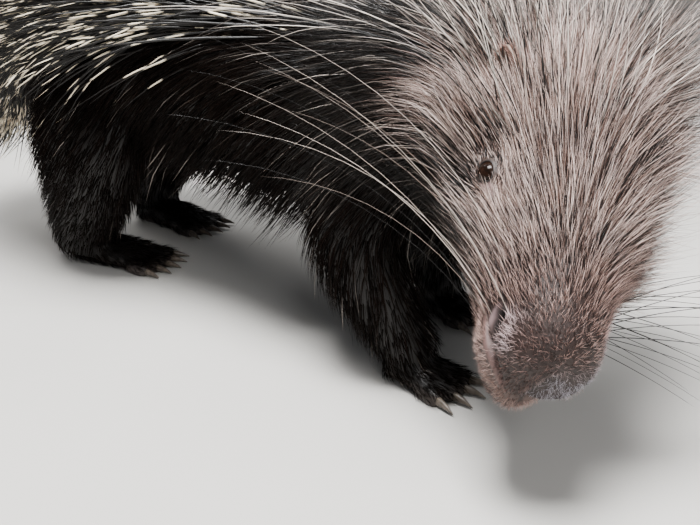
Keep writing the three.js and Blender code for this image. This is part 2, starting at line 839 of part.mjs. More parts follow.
function addTorsoCoat() {
  const coat = new Coat('torso');
  cover(coat, trunkLoft, {
    from: 0.68,
    to: 0.08,
    rows: 12,
    low: 24,
    high: 156,
    apart: 29,
    fall: 0.2,
    make: (place, angle) => quill({
      length: lerp(110, 230, Math.sin(angle)),
      lift: lerp(13, 24, Math.sin(angle)),
    }),
  });
  cover(coat, trunkLoft, {
    from: 0.78,
    to: 0.7,
    rows: 2,
    low: 24,
    high: 156,
    apart: 34,
    fall: 0.2,
    make: () => lock({ length: 90, width: 30, thick: 6.5, lift: 15, droop: 22 }),
  });
  for (const low of [-28, 156]) {
    cover(coat, trunkLoft, {
      from: 0.78,
      to: 0.14,
      rows: 7,
      low,
      high: low + 52,
      apart: 31,
      fall: 0.35,
      make: () => lock({ length: 92, width: 34, thick: 6.5, lift: 15, droop: 24 }),
    });
  }
  coat.finish();
}

// The rattle: short blunt quills at the end of the tail
function addTailCoat() {
  const coat = new Coat('tail');
  cover(coat, tailLoft, {
    from: 0.5,
    to: 0.95,
    rows: 3,
    low: 0,
    high: 360,
    apart: 17,
    fall: 0,
    sense: 1,
    make: () => quill({ length: 62, lift: 16, radius: 2.8 }),
  });
  coat.finish();
}

function addLegCoat(name, shank) {
  const coat = new Coat(name);
  const outer = name.endsWith('right') ? 180 : 0;
  cover(coat, shank, {
    from: 0.26,
    to: 0.62,
    rows: 3,
    low: outer - 75,
    high: outer + 75,
    apart: 34,
    fall: 0.6,
    sense: 1,
    make: () => lock({ length: 52, width: 27, thick: 6, lift: 15, droop: 16 }),
  });
  coat.finish();
}

addBody();
addEyes();
const body = wholeWithGap();
addEars(body);
for (const [name, leg] of Object.entries(LEGS)) addLeg(name, leg, body);
addTail(body);
addHeadCoat();
addNeckCoat();
addTorsoCoat();
addTailCoat();
for (const [name, shank] of shanks) addLegCoat(name, shank);

const group = new THREE.Group();
for (const [name, { solid, look }] of nodes) {
  const { vertProperties, triVerts } = solid.getMesh();
  const geometry = new THREE.BufferGeometry();
  geometry.setAttribute('position', new THREE.BufferAttribute(vertProperties, 3));
  geometry.setIndex(new THREE.BufferAttribute(triVerts, 1));
  geometry.computeVertexNormals();
  const mesh = new THREE.Mesh(geometry, new THREE.MeshStandardMaterial(look));
  mesh.name = name;
  group.add(mesh);
}

// The origin is under the middle of the whole, on the floor
const bounds = new THREE.Box3().setFromObject(group);
const middle = bounds.getCenter(new THREE.Vector3());
group.position.set(-middle.x, -middle.y, 0);

export default group;
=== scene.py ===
"""An adult crested porcupine, life size, standing with its head lowered and turned to its right."""
from math import pi, radians

import bmesh
import bpy
import numpy as np
from mathutils import Euler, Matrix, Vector
from mathutils.kdtree import KDTree


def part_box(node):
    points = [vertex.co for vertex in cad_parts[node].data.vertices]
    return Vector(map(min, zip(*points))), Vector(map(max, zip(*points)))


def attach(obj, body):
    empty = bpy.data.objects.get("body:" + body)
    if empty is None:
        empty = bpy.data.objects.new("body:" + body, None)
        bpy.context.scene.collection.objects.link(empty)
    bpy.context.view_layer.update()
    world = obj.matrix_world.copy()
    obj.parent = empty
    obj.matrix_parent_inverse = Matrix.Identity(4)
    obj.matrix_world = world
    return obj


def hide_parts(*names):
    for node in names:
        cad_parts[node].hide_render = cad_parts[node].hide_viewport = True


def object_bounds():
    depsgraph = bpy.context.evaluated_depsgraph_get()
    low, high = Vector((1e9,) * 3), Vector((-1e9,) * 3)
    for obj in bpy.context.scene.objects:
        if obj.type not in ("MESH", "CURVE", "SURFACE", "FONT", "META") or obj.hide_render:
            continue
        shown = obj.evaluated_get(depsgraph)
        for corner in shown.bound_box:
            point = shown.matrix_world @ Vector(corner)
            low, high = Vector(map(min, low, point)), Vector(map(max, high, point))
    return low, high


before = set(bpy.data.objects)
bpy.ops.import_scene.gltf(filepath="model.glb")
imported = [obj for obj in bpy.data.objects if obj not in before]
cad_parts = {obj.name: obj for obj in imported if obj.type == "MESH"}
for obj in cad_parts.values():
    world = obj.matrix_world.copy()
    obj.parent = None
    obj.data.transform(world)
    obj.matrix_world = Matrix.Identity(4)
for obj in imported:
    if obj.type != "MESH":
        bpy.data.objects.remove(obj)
CAD_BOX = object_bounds()

# Stations are in millimetres, as the solids give them, and are scaled to metres once
MM = 0.001

# Trunk: x, z, half width, height above the centre line, depth below it, depth of the coat's core
TRUNK = [
    (-235, 180, 15, 15, 15, 3),
    (-218, 180, 52, 50, 50, 5),
    (-175, 184, 86, 74, 62, 6),
    (-100, 189, 103, 87, 70, 6),
    (-20, 190, 106, 88, 68, 6),
    (70, 184, 102, 82, 77, 6),
    (140, 178, 94, 78, 83, 6),
    (200, 174, 82, 74, 84, 6),
    (250, 176, 64, 64, 66, 6),
]
TRUNK_SHIFT = 12
TRUNK_SLOPE = 0.02
TRUNK_BEND = 0.00052

# Neck: x, y, z, half width, height above, depth below, depth of the core
NECK = [
    (160, 2, 176, 80, 76, 86, 6),
    (220, -12, 186, 76, 74, 80, 6),
    (266, -27, 197, 70, 66, 72, 6),
    (310, -46, 197, 55, 47, 55, 5),
    (328, -64, 176, 44, 38, 44, 5),
]

# Head, in its own frame: x to the nose, y to the animal's left, z to the crown
HEAD_AT = (340, -81.5, 158.5)
HEAD_TURN = Euler((radians(-20.9), radians(40), radians(-56.6)), "XYZ")
HEAD = [
    (-85, 48, 32, 38, 4),
    (-60, 56, 44, 50, 4),
    (-30, 55, 49, 52, 4),
    (0, 45.5, 48.5, 50, 3),
    (30, 39, 46, 46, 2.5),
    (60, 35, 41.5, 42, 2),
    (86, 32.5, 35, 41, 1.2),
    (104, 28.5, 25, 37, 0.6),
    (114, 20, 11, 25, 0.4),
]
EYE_AT = (0, 40.5, 17)
EYE_RADIUS = 7.2
EYE_OPENING = (6.2, 5.2)
LID_RADIUS = 8.7
EAR_AT = (-50, 37, 38)
NOSTRIL_AT = (88, 32.5, 4)
LIP_PAD_AT = (88, 13.5, -12)
LIP_PAD_RADII = (27, 19.5, 24)
CHIN_AT = (91, 0, -39)
CHIN_RADII = (24, 19, 17)
JAW_AT = (54, 0, -32)
JAW_RADII = (49, 24, 20)
MOUTH_Z = -27
MOUTH_RISE = 22
SIDES = ((1, "left"), (-1, "right"))

# Legs: x, y, z, half width across, half width fore and aft, depth of the core
LEGS = {
    "hind_leg_right": {
        "bones": [
            (-104, -60, 175, 45, 70, 6),
            (-103, -82, 130, 40, 66, 6),
            (-117, -82, 85, 33, 51, 5),
            (-143, -72, 44, 29, 37, 3),
            (-149, -69, 18, 26, 31, 1),
        ],
        "heel": (-160, -68), "ball": (-87, -42), "toes": 5,
    },
    "hind_leg_left": {
        "bones": [
            (-118, 60, 175, 45, 65, 6),
            (-142, 80, 130, 40, 57, 6),
            (-180, 78, 85, 32, 45, 5),
            (-197, 65, 44, 26, 31, 3),
            (-193, 58, 18, 24, 25, 1),
        ],
        "heel": (-205, 52), "ball": (-131, 62), "toes": 5,
    },
    "front_leg_right": {
        "bones": [
            (206, -55, 150, 40, 45, 6),
            (201, -76, 110, 32, 39, 5),
            (221, -78, 65, 26, 29, 4),
            (241, -70, 28, 21, 22, 2),
            (248, -66, 16, 21, 16, 1),
        ],
        "heel": (228, -68), "ball": (272, -70), "toes": 4,
    },
    "front_leg_left": {
        "bones": [
            (186, 45, 150, 40, 45, 6),
            (168, 64, 110, 32, 38, 5),
            (174, 60, 65, 25, 28, 4),
            (191, 52, 28, 21, 22, 2),
            (198, 48, 16, 21, 16, 1),
        ],
        "heel": (178, 48), "ball": (222, 44), "toes": 4,
    },
}
HIND_FOOT = {"heel_half": 19, "ball_half": 25, "heel_height": 34, "ball_height": 19, "toe": 21}
FRONT_FOOT = {"heel_half": 17, "ball_half": 21, "heel_height": 28, "ball_height": 17, "toe": 17}
TOE_FAN = radians(34)
TOE_RADIUS = 7
TOE_TIP = 4.8
CLAW_RADIUS = 3.4
CLAW_LENGTH = 15
CLAW_TIP_HEIGHT = 2.2
CLAW_GAP = 0.3

# Tail: x, y, z, radius, depth of the core
TAIL = [
    (-205, -16, 176, 24, 3),
    (-236, -25, 160, 20, 3),
    (-258, -32, 146, 14, 2),
    (-272, -37, 137, 7, 1),
]

# Skin mesh
VOXEL = 2.4 * MM
FINE_RANGE = 24 * MM
SKIN_SMOOTHING = 14
# Lowest places of the skin, of hairs and of whiskers, in metres
SKIN_FLOOR = 0.0004
HAIR_FLOOR = 0.0008
WHISKER_FLOOR = 0.0015

# How far round a nostril and an eye their folds and colours reach, in millimetres
NOSTRIL_REACH = 24
EYE_REACH = 22
# Middle of the nostril's slit, across it, and of the round hole at its upper end, along it
SLIT_AT = 0.8
HOLE_AT = -7

# Coat of the head: places along its x axis and the value there, for hair lengths and widths in millimetres,
# lift in degrees, share of pale hairs and how far hairs stray from the lie
HEAD_LENGTHS = (
    (-80, 70), (-50, 66), (-25, 56), (0, 46), (30, 34), (50, 22), (65, 12), (82, 7.5), (96, 5.4), (110, 4.6),
)
HEAD_LIFTS = ((-60, 36), (-20, 32), (30, 26), (70, 20), (90, 26), (110, 30))
HEAD_PALE = ((-60, 0.62), (-20, 0.36), (20, 0.28), (60, 0.45), (110, 0.42))
HEAD_WIDTHS = ((-60, 0.66), (0, 0.54), (60, 0.46), (110, 0.4))
HEAD_STRAY = ((40, 0.17), (80, 0.28), (92, 0.75), (110, 1.2))
# The lips' and chin's short fuzz: its length, how much more it is raised, and its share of pale hairs
BEARD_LENGTH = 5.5
BEARD_RAISED = 14
BEARD_PALE = 0.75

# Layers of fur: piece, where it grows, hairs, rings of each, hairs to a tuft, how much a tuft draws together,
# slot and material
FUR_LAYERS = (
    ("fur_muzzle", "muzzle", 16000, 2, 7, 0.2, "head_coat", "fur"),
    ("fur_head", "head", 30000, 3, 11, 0.18, "head_coat", "fur"),
    ("fur_neck", "neck", 12500, 3, 9, 0.16, "body_coat", "neck_fur"),
    ("fur_trunk", "trunk", 15500, 3, 7, 0.16, "body_coat", "dark_fur"),
    ("fur_legs", "legs", 8500, 3, 9, 0.3, "leg_coat", "dark_fur"),
    ("fur_feet", "feet", 4500, 2, 7, 0.3, "leg_coat", "dark_fur"),
)
# Materials: roughness and shine; scale, detail and stretch of the noise; two tones with their places in the
# noise, and whether they scale the tint of the mesh; for bumps, their noise, strength and depth
COAT_TONES = ((0.3, (0.72, 0.72, 0.72)), (0.7, (1.2, 1.16, 1.12)))
HORN_GRAIN = (300, 3.0, (1, 1, 0.2))
MATERIALS = {
    "fur": ((0.3, 0.38), (60,), COAT_TONES, True),
    "neck_fur": ((0.34, 0.2), (60,), COAT_TONES, True),
    "dark_fur": ((0.45, 0.04), (60,), COAT_TONES, True),
    "whisker_horn": ((0.32, 0.4), (60,), COAT_TONES, True),
    "skin": (
        (0.55, 0.4), (45,), ((0.3, (0.7, 0.7, 0.7)), (0.75, (1.25, 1.2, 1.15))), True,
        (900, 3.0), 0.35, 0.0006,
    ),
    "eye": ((0.16, 0.16), (260,), ((0.35, (0.005, 0.0025, 0.0015)), (0.7, (0.016, 0.007, 0.004))), False),
    "claw": (
        (0.36, 0.5), HORN_GRAIN, ((0.3, (0.055, 0.043, 0.034)), (0.7, (0.15, 0.12, 0.094))), False,
        HORN_GRAIN, 0.3, 0.0004,
    ),
    "ear": (
        (0.6, 0.35), (120,), ((0.3, (0.17, 0.115, 0.09)), (0.7, (0.28, 0.20, 0.16))), False,
        (700,), 0.3, 0.0005,
    ),
    "floor": ((0.9, 0.2), (3,), ((0.3, (0.47, 0.455, 0.43)), (0.7, (0.50, 0.485, 0.46))), False),
}
QUILL_GLOSS = (0.34, 0.35)
# A patch of the skin's map that a strand's own map covers, and the most triangles in one piece
STRAND_PATCH = 0.003
PIECE_TRIANGLES = 190000
# How far beyond the frame's box a tip may reach, as a share of the side and a length in metres
BEYOND_SHARE = 0.02
BEYOND = 0.006

# Quills: how many, shortest length and how much longer the highest are, in millimetres, and the least and
# most distance between bands. The bands are where the cosine of their phase is above QUILL_BAND
QUILLS = 3100
QUILL_LENGTH = 62
QUILL_LONGER = 143
QUILL_BANDS = (54, 84)
QUILL_BAND = 0.75
CREST_HAIRS = 480
CREST_LENGTHS = {"neck": 180, "head": 120}
RATTLE_QUILLS = 40
RATTLE_LENGTH = 48
RATTLE_RADIUS = 2.3

# Ears, in millimetres
EAR_HEIGHT = 28
EAR_WIDTH = 20
EAR_WALL = 1.6
EAR_BOWL = 8.5
EAR_SUNK = 8
EAR_HAIRS = 700

# Whiskers: side, how many in a row, radius, and for the highest and the lowest row the headings at root and
# tip in the head's frame and the length in millimetres
WHISKER_FANS = (
    (
        -1, 3, 0.17,
        ((-0.87, 0.47, 0.09), (-0.04, 0.97, 0.02), 245),
        ((-0.8, 0.62, 0.05), (0.14, 1, -0.1), 216),
    ),
    (
        1, 5, 0.3,
        ((-0.45, 1, 0.25), (-0.1, 1, 0.15), 150),
        ((0.1, 1, -0.2), (0.25, 0.9, -0.2), 120),
    ),
)
WHISKER_ROWS = 5
# Where whiskers root on the head's loft: along it, and from the highest to the lowest row round it
WHISKER_ALONG = (0.72, 0.62)
WHISKER_ROUND = (radians(22), radians(-18))
BROW_WHISKERS = 5
BROW_LENGTH = 58
BROW_RADIUS = 0.16

# Camera, in the body's own frame in millimetres, with angles in degrees
CAMERA_AT = (550, -534, 315)
CAMERA_PITCH = 21.8
CAMERA_YAW = 38.0
CAMERA_LENS = 43.7
SENSOR_WIDTH = 36

# Floor and lights: name, place, size and power
FLOOR_HALF = 4.0
LIGHTS_AIM = (0, 0, 0.15)
WORLD_COLOUR = (0.92, 0.95, 1.0, 1)
WORLD_STRENGTH = 0.27
LIGHTS = (
    ("overhead", (0.2, -0.25, 1.7), 0.7, 122),
    ("window", (1.5, -0.9, 1.1), 0.8, 20),
    ("behind", (-1.1, 0.7, 1.5), 0.9, 26),
)

# Colours, linear
BLACK = np.array((0.0028, 0.0019, 0.0015))
BROWN = np.array((0.0090, 0.0052, 0.0038))
GREY = np.array((0.042, 0.033, 0.028))
SILVER = np.array((0.59, 0.53, 0.48))
FACE_DARK = np.array((0.0115, 0.0056, 0.0042))
FACE_LOW = np.array((0.17, 0.100, 0.080))
FACE_HIGH = np.array((0.95, 0.775, 0.715))
MUZZLE_DARK = np.array((0.021, 0.0100, 0.0078))
MUZZLE_PALE = np.array((0.62, 0.41, 0.36))
PAD_BROWN = np.array((0.35, 0.215, 0.19))
# Bluish white for pale bristles low on the pad's left, partly their own colour and partly a painted sheen
PAD_BLUE_SHEEN = np.array((0.66, 0.65, 0.74))
# Mauve white for pale tufts beside the nostrils, partly their own colour and partly a painted glint
NOSTRIL_PALE_GLINT = np.array((0.72, 0.58, 0.60))
BEARD_LOW = np.array((0.13, 0.08, 0.07))
BEARD_HIGH = np.array((0.60, 0.415, 0.365))
CREAM = np.array((1.0, 0.87, 0.66))
EAR_LOW = np.array((0.25, 0.125, 0.105))
EAR_HIGH = np.array((0.60, 0.38, 0.32))
# Skin colours: dark under the coat, lilac grey where bare
UNDER_COAT = np.array((0.004, 0.003, 0.0025))
BARE_LILAC = np.array((0.30, 0.205, 0.21))
LIP_PINK = np.array((0.15, 0.084, 0.078))
CHIN_BROWN = np.array((0.085, 0.055, 0.047))
LID_BROWN = np.array((0.034, 0.021, 0.017))
SOLE = np.array((0.05, 0.04, 0.036))

rng = np.random.default_rng(11)


def unit(v):
    """Vectors along the last axis, scaled to length one."""
    size = np.linalg.norm(v, axis=-1, keepdims=True)
    return v / np.maximum(size, 1e-12)


def dot(a, b):
    return np.sum(a * b, axis=-1)


def ramp(value, low, high):
    """0 below low, 1 above high, smooth between; low may be the larger."""
    t = np.clip((value - low) / (high - low), 0, 1)
    return t * t * (3 - 2 * t)


def bell(value, width):
    return np.exp(-(value / width) ** 2)


# Frames
UP = np.array((0.0, 0.0, 1.0))
FORWARD = np.array((1.0, 0.0, 0.0))
turn = np.array(HEAD_TURN.to_matrix())
NOSEWARD, CHEEKWARD, CROWNWARD = turn.T


def head_direction(x, y, z):
    return unit(turn @ np.array((x, y, z), float))


def body_place(local, side=1):
    """A place of the head in the body's own frame, in millimetres."""
    x, y, z = local
    return np.array(HEAD_AT) + turn @ np.array((x, side * y, z), float)


def box_middle(node):
    low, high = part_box(node)
    return np.array((low + high) / 2)


# The body's own frame is shifted so that the eye lies where the frame has it
ORIGIN = box_middle("eye_right") - body_place(EYE_AT, -1) * MM


def place(point):
    return np.array(point, float) * MM + ORIGIN


def head_place(local, side=1):
    return place(body_place(local, side))


def to_head(points):
    """Places in the head's own frame, in millimetres."""
    return (points - place(HEAD_AT)) @ turn / MM


def bands(rings, around):
    """The four-sided faces between rings of vertices."""
    faces = []
    for row in range(0, (rings - 1) * around, around):
        for k in range(around):
            after = (k + 1) % around
            faces.append((row + k, row + after, row + around + after, row + around + k))
    return faces


class Loft:
    """Stations from one end to the other, each a centre, three half sizes and a core depth."""

    def __init__(self, name, stations, up):
        self.name = name
        self.rows = np.array(stations, float)
        self.up = np.array(up, float)

    def sizes(self, s):
        rows = self.rows
        last = len(rows) - 1
        u = np.clip(s, 0, 1) * last
        i = np.minimum(u.astype(int), last - 1)
        t = (u - i)[..., None]
        longer = np.vstack([2 * rows[0] - rows[1], rows, 2 * rows[-1] - rows[-2]])
        a, b, c, d = (longer[i + k] for k in range(4))
        return b + 0.5 * t * ((c - a) + t * ((2 * a - 5 * b + 4 * c - d) + t * (3 * (b - c) + d - a)))

    def tangent(self, s):
        step = 0.005
        ahead = self.sizes(np.minimum(s + step, 1))[..., :3]
        behind = self.sizes(np.maximum(s - step, 0))[..., :3]
        return unit(ahead - behind)

    def point(self, s, angle):
        """Places on the core's surface, in metres."""
        sizes = self.sizes(s)
        half, top, bottom, depth = (sizes[..., k] for k in range(3, 7))
        ahead = self.tangent(s)
        side = unit(np.cross(np.broadcast_to(self.up, ahead.shape), ahead))
        above = np.cross(ahead, side)
        height = np.where(np.sin(angle) >= 0, top, bottom)
        across = (np.cos(angle) * (half - depth))[..., None]
        over = (np.sin(angle) * (height - depth))[..., None]
        return (sizes[..., :3] + side * across + above * over) * MM + ORIGIN

    def grid(self, rings, sides):
        s, k = np.meshgrid(np.linspace(0, 1, rings), np.arange(sides), indexing="ij")
        return s, 2 * pi * k / sides

    def shape(self, rings, sides):
        """Vertices and faces of the closed form."""
        s, angle = self.grid(rings, sides)
        points = self.point(s, angle).reshape(-1, 3)
        faces = bands(rings, sides)
        faces.append(tuple(range(sides))[::-1])
        faces.append(tuple(range((rings - 1) * sides, rings * sides)))
        return points, faces


def ball_shape(centre, radii, axes, around=24, down=14):
    """Vertices and faces of a closed ellipsoid; radii in millimetres, axes as rows."""
    theta = np.linspace(0, pi, down + 1)[1:-1]
    phi = 2 * pi * np.arange(around) / around
    t, p = np.meshgrid(theta, phi, indexing="ij")
    local = np.stack([np.sin(t) * np.cos(p), np.sin(t) * np.sin(p), np.cos(t)], -1).reshape(-1, 3)
    local = np.vstack([local, (0, 0, 1), (0, 0, -1)]) * np.array(radii, float) * MM
    points = centre + local @ np.array(axes)
    faces = [(a, d, c, b) for a, b, c, d in bands(down - 1, around)]
    north, last = (down - 1) * around, (down - 2) * around
    for k in range(around):
        after = (k + 1) % around
        faces.append((north, k, after))
        faces.append((north + 1, last + after, last + k))
    return points, faces


def nostril_view(local, side):
    """Places round a nostril, in millimetres: along its slit, outward across it, and how far away."""
    slit = unit(np.array((0.75, side * 0.05, -0.66)))
    out = unit(np.array((0.25, side * 0.95, 0.2)))
    across = unit(np.cross(out, slit)) * side
    away = local - np.array(NOSTRIL_AT) * (1, side, 1)
    along = away @ slit
    return along, away @ across - side * 0.018 * along * along, np.linalg.norm(away, axis=1)


def mouth_height(y):
    """The height of the mouth line: it rises at the sides of the muzzle."""
    return MOUTH_Z + MOUTH_RISE * ramp(np.abs(y), 8, 29)


def eye_axes(side):
    out = head_direction(0.08, side * 0.9, 0.42)
    along = unit(NOSEWARD - out * dot(NOSEWARD, out))
    return np.array((along, np.cross(along, out) * side, out))


def eye_view(points, side):
    """Places round an eye, in millimetres: toward the nose, up, and outward."""
    return ((points - head_place(EYE_AT, side)) @ eye_axes(side).T / MM).T


def eye_rim(ahead, over):
    """1 at the edge of the eye's opening, more beyond it."""
    return np.hypot(ahead / EYE_OPENING[0], over / EYE_OPENING[1])


# Lofts
def trunk_station(x, z, half, top, bottom, depth):
    y = TRUNK_SHIFT + TRUNK_SLOPE * x - TRUNK_BEND * x * x
    return (x, y, z, half, top, bottom, depth)


def head_station(x, half, top, bottom, depth):
    return (*body_place((x, 0, 0)), half, top, bottom, depth)


head_loft = Loft("head", [head_station(*row) for row in HEAD], CROWNWARD)
lofts = [
    Loft("trunk", [trunk_station(*row) for row in TRUNK], UP),
    Loft("neck", NECK, UP),
    head_loft,
    Loft("tail", [(x, y, z, r, r, r, depth) for x, y, z, r, depth in TAIL], UP),
]
claws = []


def add_toe(name, k, leg, foot, ball, ahead, side):
    """A toe fanned out ahead of the ball of the foot, and the stations of its claw."""
    spread = k / (leg["toes"] - 1) - 0.5
    turned = spread * TOE_FAN
    direction = ahead * np.cos(turned) + side * np.sin(turned)
    start = ball + side * spread * 2 * (foot["ball_half"] - TOE_RADIUS) - ahead * foot["toe"] * 0.5
    reach = foot["toe"] * 1.5 * (1 - 0.7 * spread * spread)

    def station(share, radius):
        at = start + direction * reach * share
        height = TOE_RADIUS + (TOE_TIP - TOE_RADIUS) * share
        return (at[0], at[1], height, radius, radius, radius + 2, 0)

    tip = station(1, TOE_TIP)
    lofts.append(Loft("toe", [station(0, TOE_RADIUS), station(0.6, TOE_RADIUS), tip], UP))
    claws.append((f"{name.replace('leg', 'claw')}_{k + 1}", np.array(tip[:3]), direction))


def add_leg(name, leg):
    foot = HIND_FOOT if name.startswith("hind") else FRONT_FOOT
    rows = [(x, y, z, across, fore, fore, depth) for x, y, z, across, fore, depth in leg["bones"]]
    lofts.append(Loft(name, rows, FORWARD))
    heel = np.array((*leg["heel"], foot["heel_height"] / 2))
    ball = np.array((*leg["ball"], foot["ball_height"] / 2))

    def station(share):
        at = heel + (ball - heel) * share
        half = foot["heel_half"] + (foot["ball_half"] - foot["heel_half"]) * share
        rounded = 0.7 if share in (0, 1) else 1
        height = foot["heel_height"] + (foot["ball_height"] - foot["heel_height"]) * share
        return (*at, half * rounded, height * rounded / 2, at[2] + 3, 0.5)

    lofts.append(Loft("foot", [station(share) for share in (0, 0.12, 0.5, 0.88, 1)], UP))
    ahead = unit((ball - heel) * (1, 1, 0))
    side = np.cross(UP, ahead)
    for k in range(leg["toes"]):
        add_toe(name, k, leg, foot, ball, ahead, side)


for leg_name, leg_sizes in LEGS.items():
    add_leg(leg_name, leg_sizes)


# Meshes
def in_scene(name, data):
    piece = bpy.data.objects.new(name, data)
    bpy.context.scene.collection.objects.link(piece)
    return piece


def mesh_object(name, points, faces):
    mesh = bpy.data.meshes.new(name)
    mesh.from_pydata([tuple(p) for p in points], [], faces)
    mesh.update()
    return in_scene(name, mesh)


def dressed(piece, material, slot, *replaced):
    """The piece, smooth and with its material, as part of the still body and in place of these nodes."""
    piece.data.shade_smooth()
    piece.data.materials.append(material)
    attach(piece, "root")
    if replaced:
        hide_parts(*replaced)


def joined(shapes):
    points, faces, start = [], [], 0
    for shape_points, shape_faces in shapes:
        points.append(shape_points)
        faces.extend(tuple(start + i for i in face) for face in shape_faces)
        start += len(shape_points)
    return np.vstack(points), faces


def applied(piece):
    """The piece with its modifiers made part of its mesh."""
    graph = bpy.context.evaluated_depsgraph_get()
    mesh = bpy.data.meshes.new_from_object(piece.evaluated_get(graph))
    piece.modifiers.clear()
    piece.data = mesh
    return piece


def read(items, key, width, kind=float):
    """A value of every item, as rows."""
    flat = np.empty(len(items) * width, kind)
    items.foreach_get(key, flat)
    return flat.reshape(-1, width)


def positions(mesh):
    return read(mesh.vertices, "co", 3)


def edge_pairs(mesh):
    return read(mesh.edges, "vertices", 2, np.int64)


def tree_of(points):
    tree = KDTree(len(points))
    for i, point in enumerate(points):
        tree.insert(point, i)
    tree.balance()
    return tree


def nearest_in(tree, points):
    return np.array([tree.find(point)[1] for point in points])


def neighbour_mean(values, edges, counts):
    total = np.zeros_like(values)
    for a, b in ((0, 1), (1, 0)):
        for c in range(values.shape[1]):
            total[:, c] += np.bincount(edges[:, a], values[edges[:, b], c], len(values))
    return total / counts[:, None]


def smoothed(values, edges, rounds, weight=1.0):
    """Values at the vertices, averaged with their neighbours again and again."""
    flat = values.ndim == 1
    result = values[:, None].copy() if flat else values.copy()
    counts = np.maximum(np.bincount(edges.ravel(), minlength=len(result)), 1)
    share = np.broadcast_to(np.asarray(weight, float).reshape(-1, 1) * 0.6, (len(result), 1))
    for _ in range(rounds):
        result += share * (neighbour_mean(result, edges, counts) - result)
    return result[:, 0] if flat else result


def subdivide_near(piece, spots, reach):
    """Splits the faces near the spots, for finer folds there."""
    work = bmesh.new()
    work.from_mesh(piece.data)
    centres = [Vector(spot) for spot in spots]
    edges = [
        edge for edge in work.edges
        if any((edge.verts[0].co - centre).length < reach for centre in centres)
    ]
    bmesh.ops.subdivide_edges(work, edges=edges, cuts=1, use_grid_fill=True)
    bmesh.ops.triangulate(work, faces=[face for face in work.faces if len(face.verts) > 4])
    work.to_mesh(piece.data)
    work.free()


# Skin
def skin_shapes():
    shapes = []
    for loft in lofts:
        fine = loft.name in ("trunk", "neck", "head")
        shapes.append(loft.shape(60 if fine else 24, 48 if fine else 24))
    for side in (1, -1):
        shapes.append(ball_shape(head_place(LIP_PAD_AT, side), LIP_PAD_RADII, turn.T))
        lids = (LID_RADIUS + 1.5, LID_RADIUS, LID_RADIUS)
        shapes.append(ball_shape(head_place(EYE_AT, side), lids, eye_axes(side)))
    shapes.append(ball_shape(head_place(CHIN_AT), CHIN_RADII, turn.T))
    shapes.append(ball_shape(head_place(JAW_AT), JAW_RADII, turn.T))
    return shapes


def shape_face(points):
    """Nostrils, mouth line, cleft, lids and the folds round them, as moves of the skin along its normals."""
    local = to_head(points)
    x, y, z = local.T
    move = np.zeros(len(points))
    front = ramp(x, 48, 70)
    lips = np.abs(z - mouth_height(y))
    move -= 3.2 * front * bell(lips, 1.6)
    move += 1.0 * front * bell(lips - 4.6, 2.6)
    cleft = ramp(x, 88, 98) * ramp(z, MOUTH_Z - 2, MOUTH_Z + 1) * ramp(z, 16, 4)
    move -= cleft * (2.0 * bell(y, 1.3) + 2.2 * bell(y, 5))
    shifts = np.zeros_like(points)
    for side in (1, -1):
        u, v, away = nostril_view(local, side)
        close = away < NOSTRIL_REACH
        move -= 5.0 * close * ramp(np.abs(u), 12, 7) * bell(v - SLIT_AT, 2.0)
        move -= 2.6 * close * bell(u - HOLE_AT, 3.8) * bell(v - SLIT_AT, 3.0)
        move += 1.2 * close * ramp(u, 10, 0) * ramp(u, -15, -10) * bell(v - 6.4, 2.6)
        move += 0.8 * close * ramp(np.abs(u), 13, 7) * bell(v + 3.8, 2.0)
        ahead, over, out = eye_view(points, side)
        near = (np.hypot(ahead, over) < 16) * (out > 0)
        opening = EYE_OPENING[1] * np.sqrt(np.clip(1 - (ahead / EYE_OPENING[0]) ** 2, 0, 1)) - np.abs(over)
        inside = ramp(opening, -0.4, 0.6) * near * (np.abs(ahead) < EYE_OPENING[0])
        shifts -= eye_axes(side)[2] * (inside * 5.2)[:, None] * MM
        rim = eye_rim(ahead, over)
        move += 0.35 * bell(rim - 1.5, 0.25) * near
        move += 0.5 * bell(rim - 2.1, 0.2) * near * (over > 0)
    return move * MM, shifts


def make_skin():
    piece = mesh_object("skin", *joined(skin_shapes()))
    remesh = piece.modifiers.new("remesh", "REMESH")
    remesh.mode = "VOXEL"
    remesh.voxel_size = VOXEL
    applied(piece)
    points = positions(piece.data)
    edges = edge_pairs(piece.data)
    local = to_head(points)
    keep = ramp(local[:, 0], 20, 60) * ramp(np.abs(local[:, 1]), 80, 60)
    feet = ramp(points[:, 2], 0.05, 0.02)
    weight = 1 - 0.6 * np.maximum(keep, feet)
    points = smoothed(points, edges, SKIN_SMOOTHING, weight)
    points[:, 2] = np.maximum(points[:, 2], SKIN_FLOOR)
    piece.data.vertices.foreach_set("co", points.ravel())
    spots = [head_place(spot, side) for side in (1, -1) for spot in (EYE_AT, NOSTRIL_AT)]
    muzzle = [head_place((x, 0, z)) for x, z in ((100, -20), (80, -30))]
    subdivide_near(piece, spots + muzzle, 2 * FINE_RANGE)
    subdivide_near(piece, spots, FINE_RANGE * 0.6)
    mesh = piece.data
    mesh.update()
    points = positions(mesh)
    move, shifts = shape_face(points)
    points += read(mesh.vertices, "normal", 3) * move[:, None] + shifts
    mesh.vertices.foreach_set("co", points.ravel())
    mesh.update()
    return piece


def unwrap(piece):
    """The skin's own unwrap, as the map that every tuft's root is found on."""
    bpy.ops.object.select_all(action="DESELECT")
    piece.select_set(True)
    bpy.context.view_layer.objects.active = piece
    piece.data.uv_layers.new(name="OFBake")
    bpy.ops.object.mode_set(mode="EDIT")
    bpy.ops.mesh.select_all(action="SELECT")
    bpy.ops.uv.smart_project(angle_limit=radians(72), island_margin=0.002)
    bpy.ops.object.mode_set(mode="OBJECT")


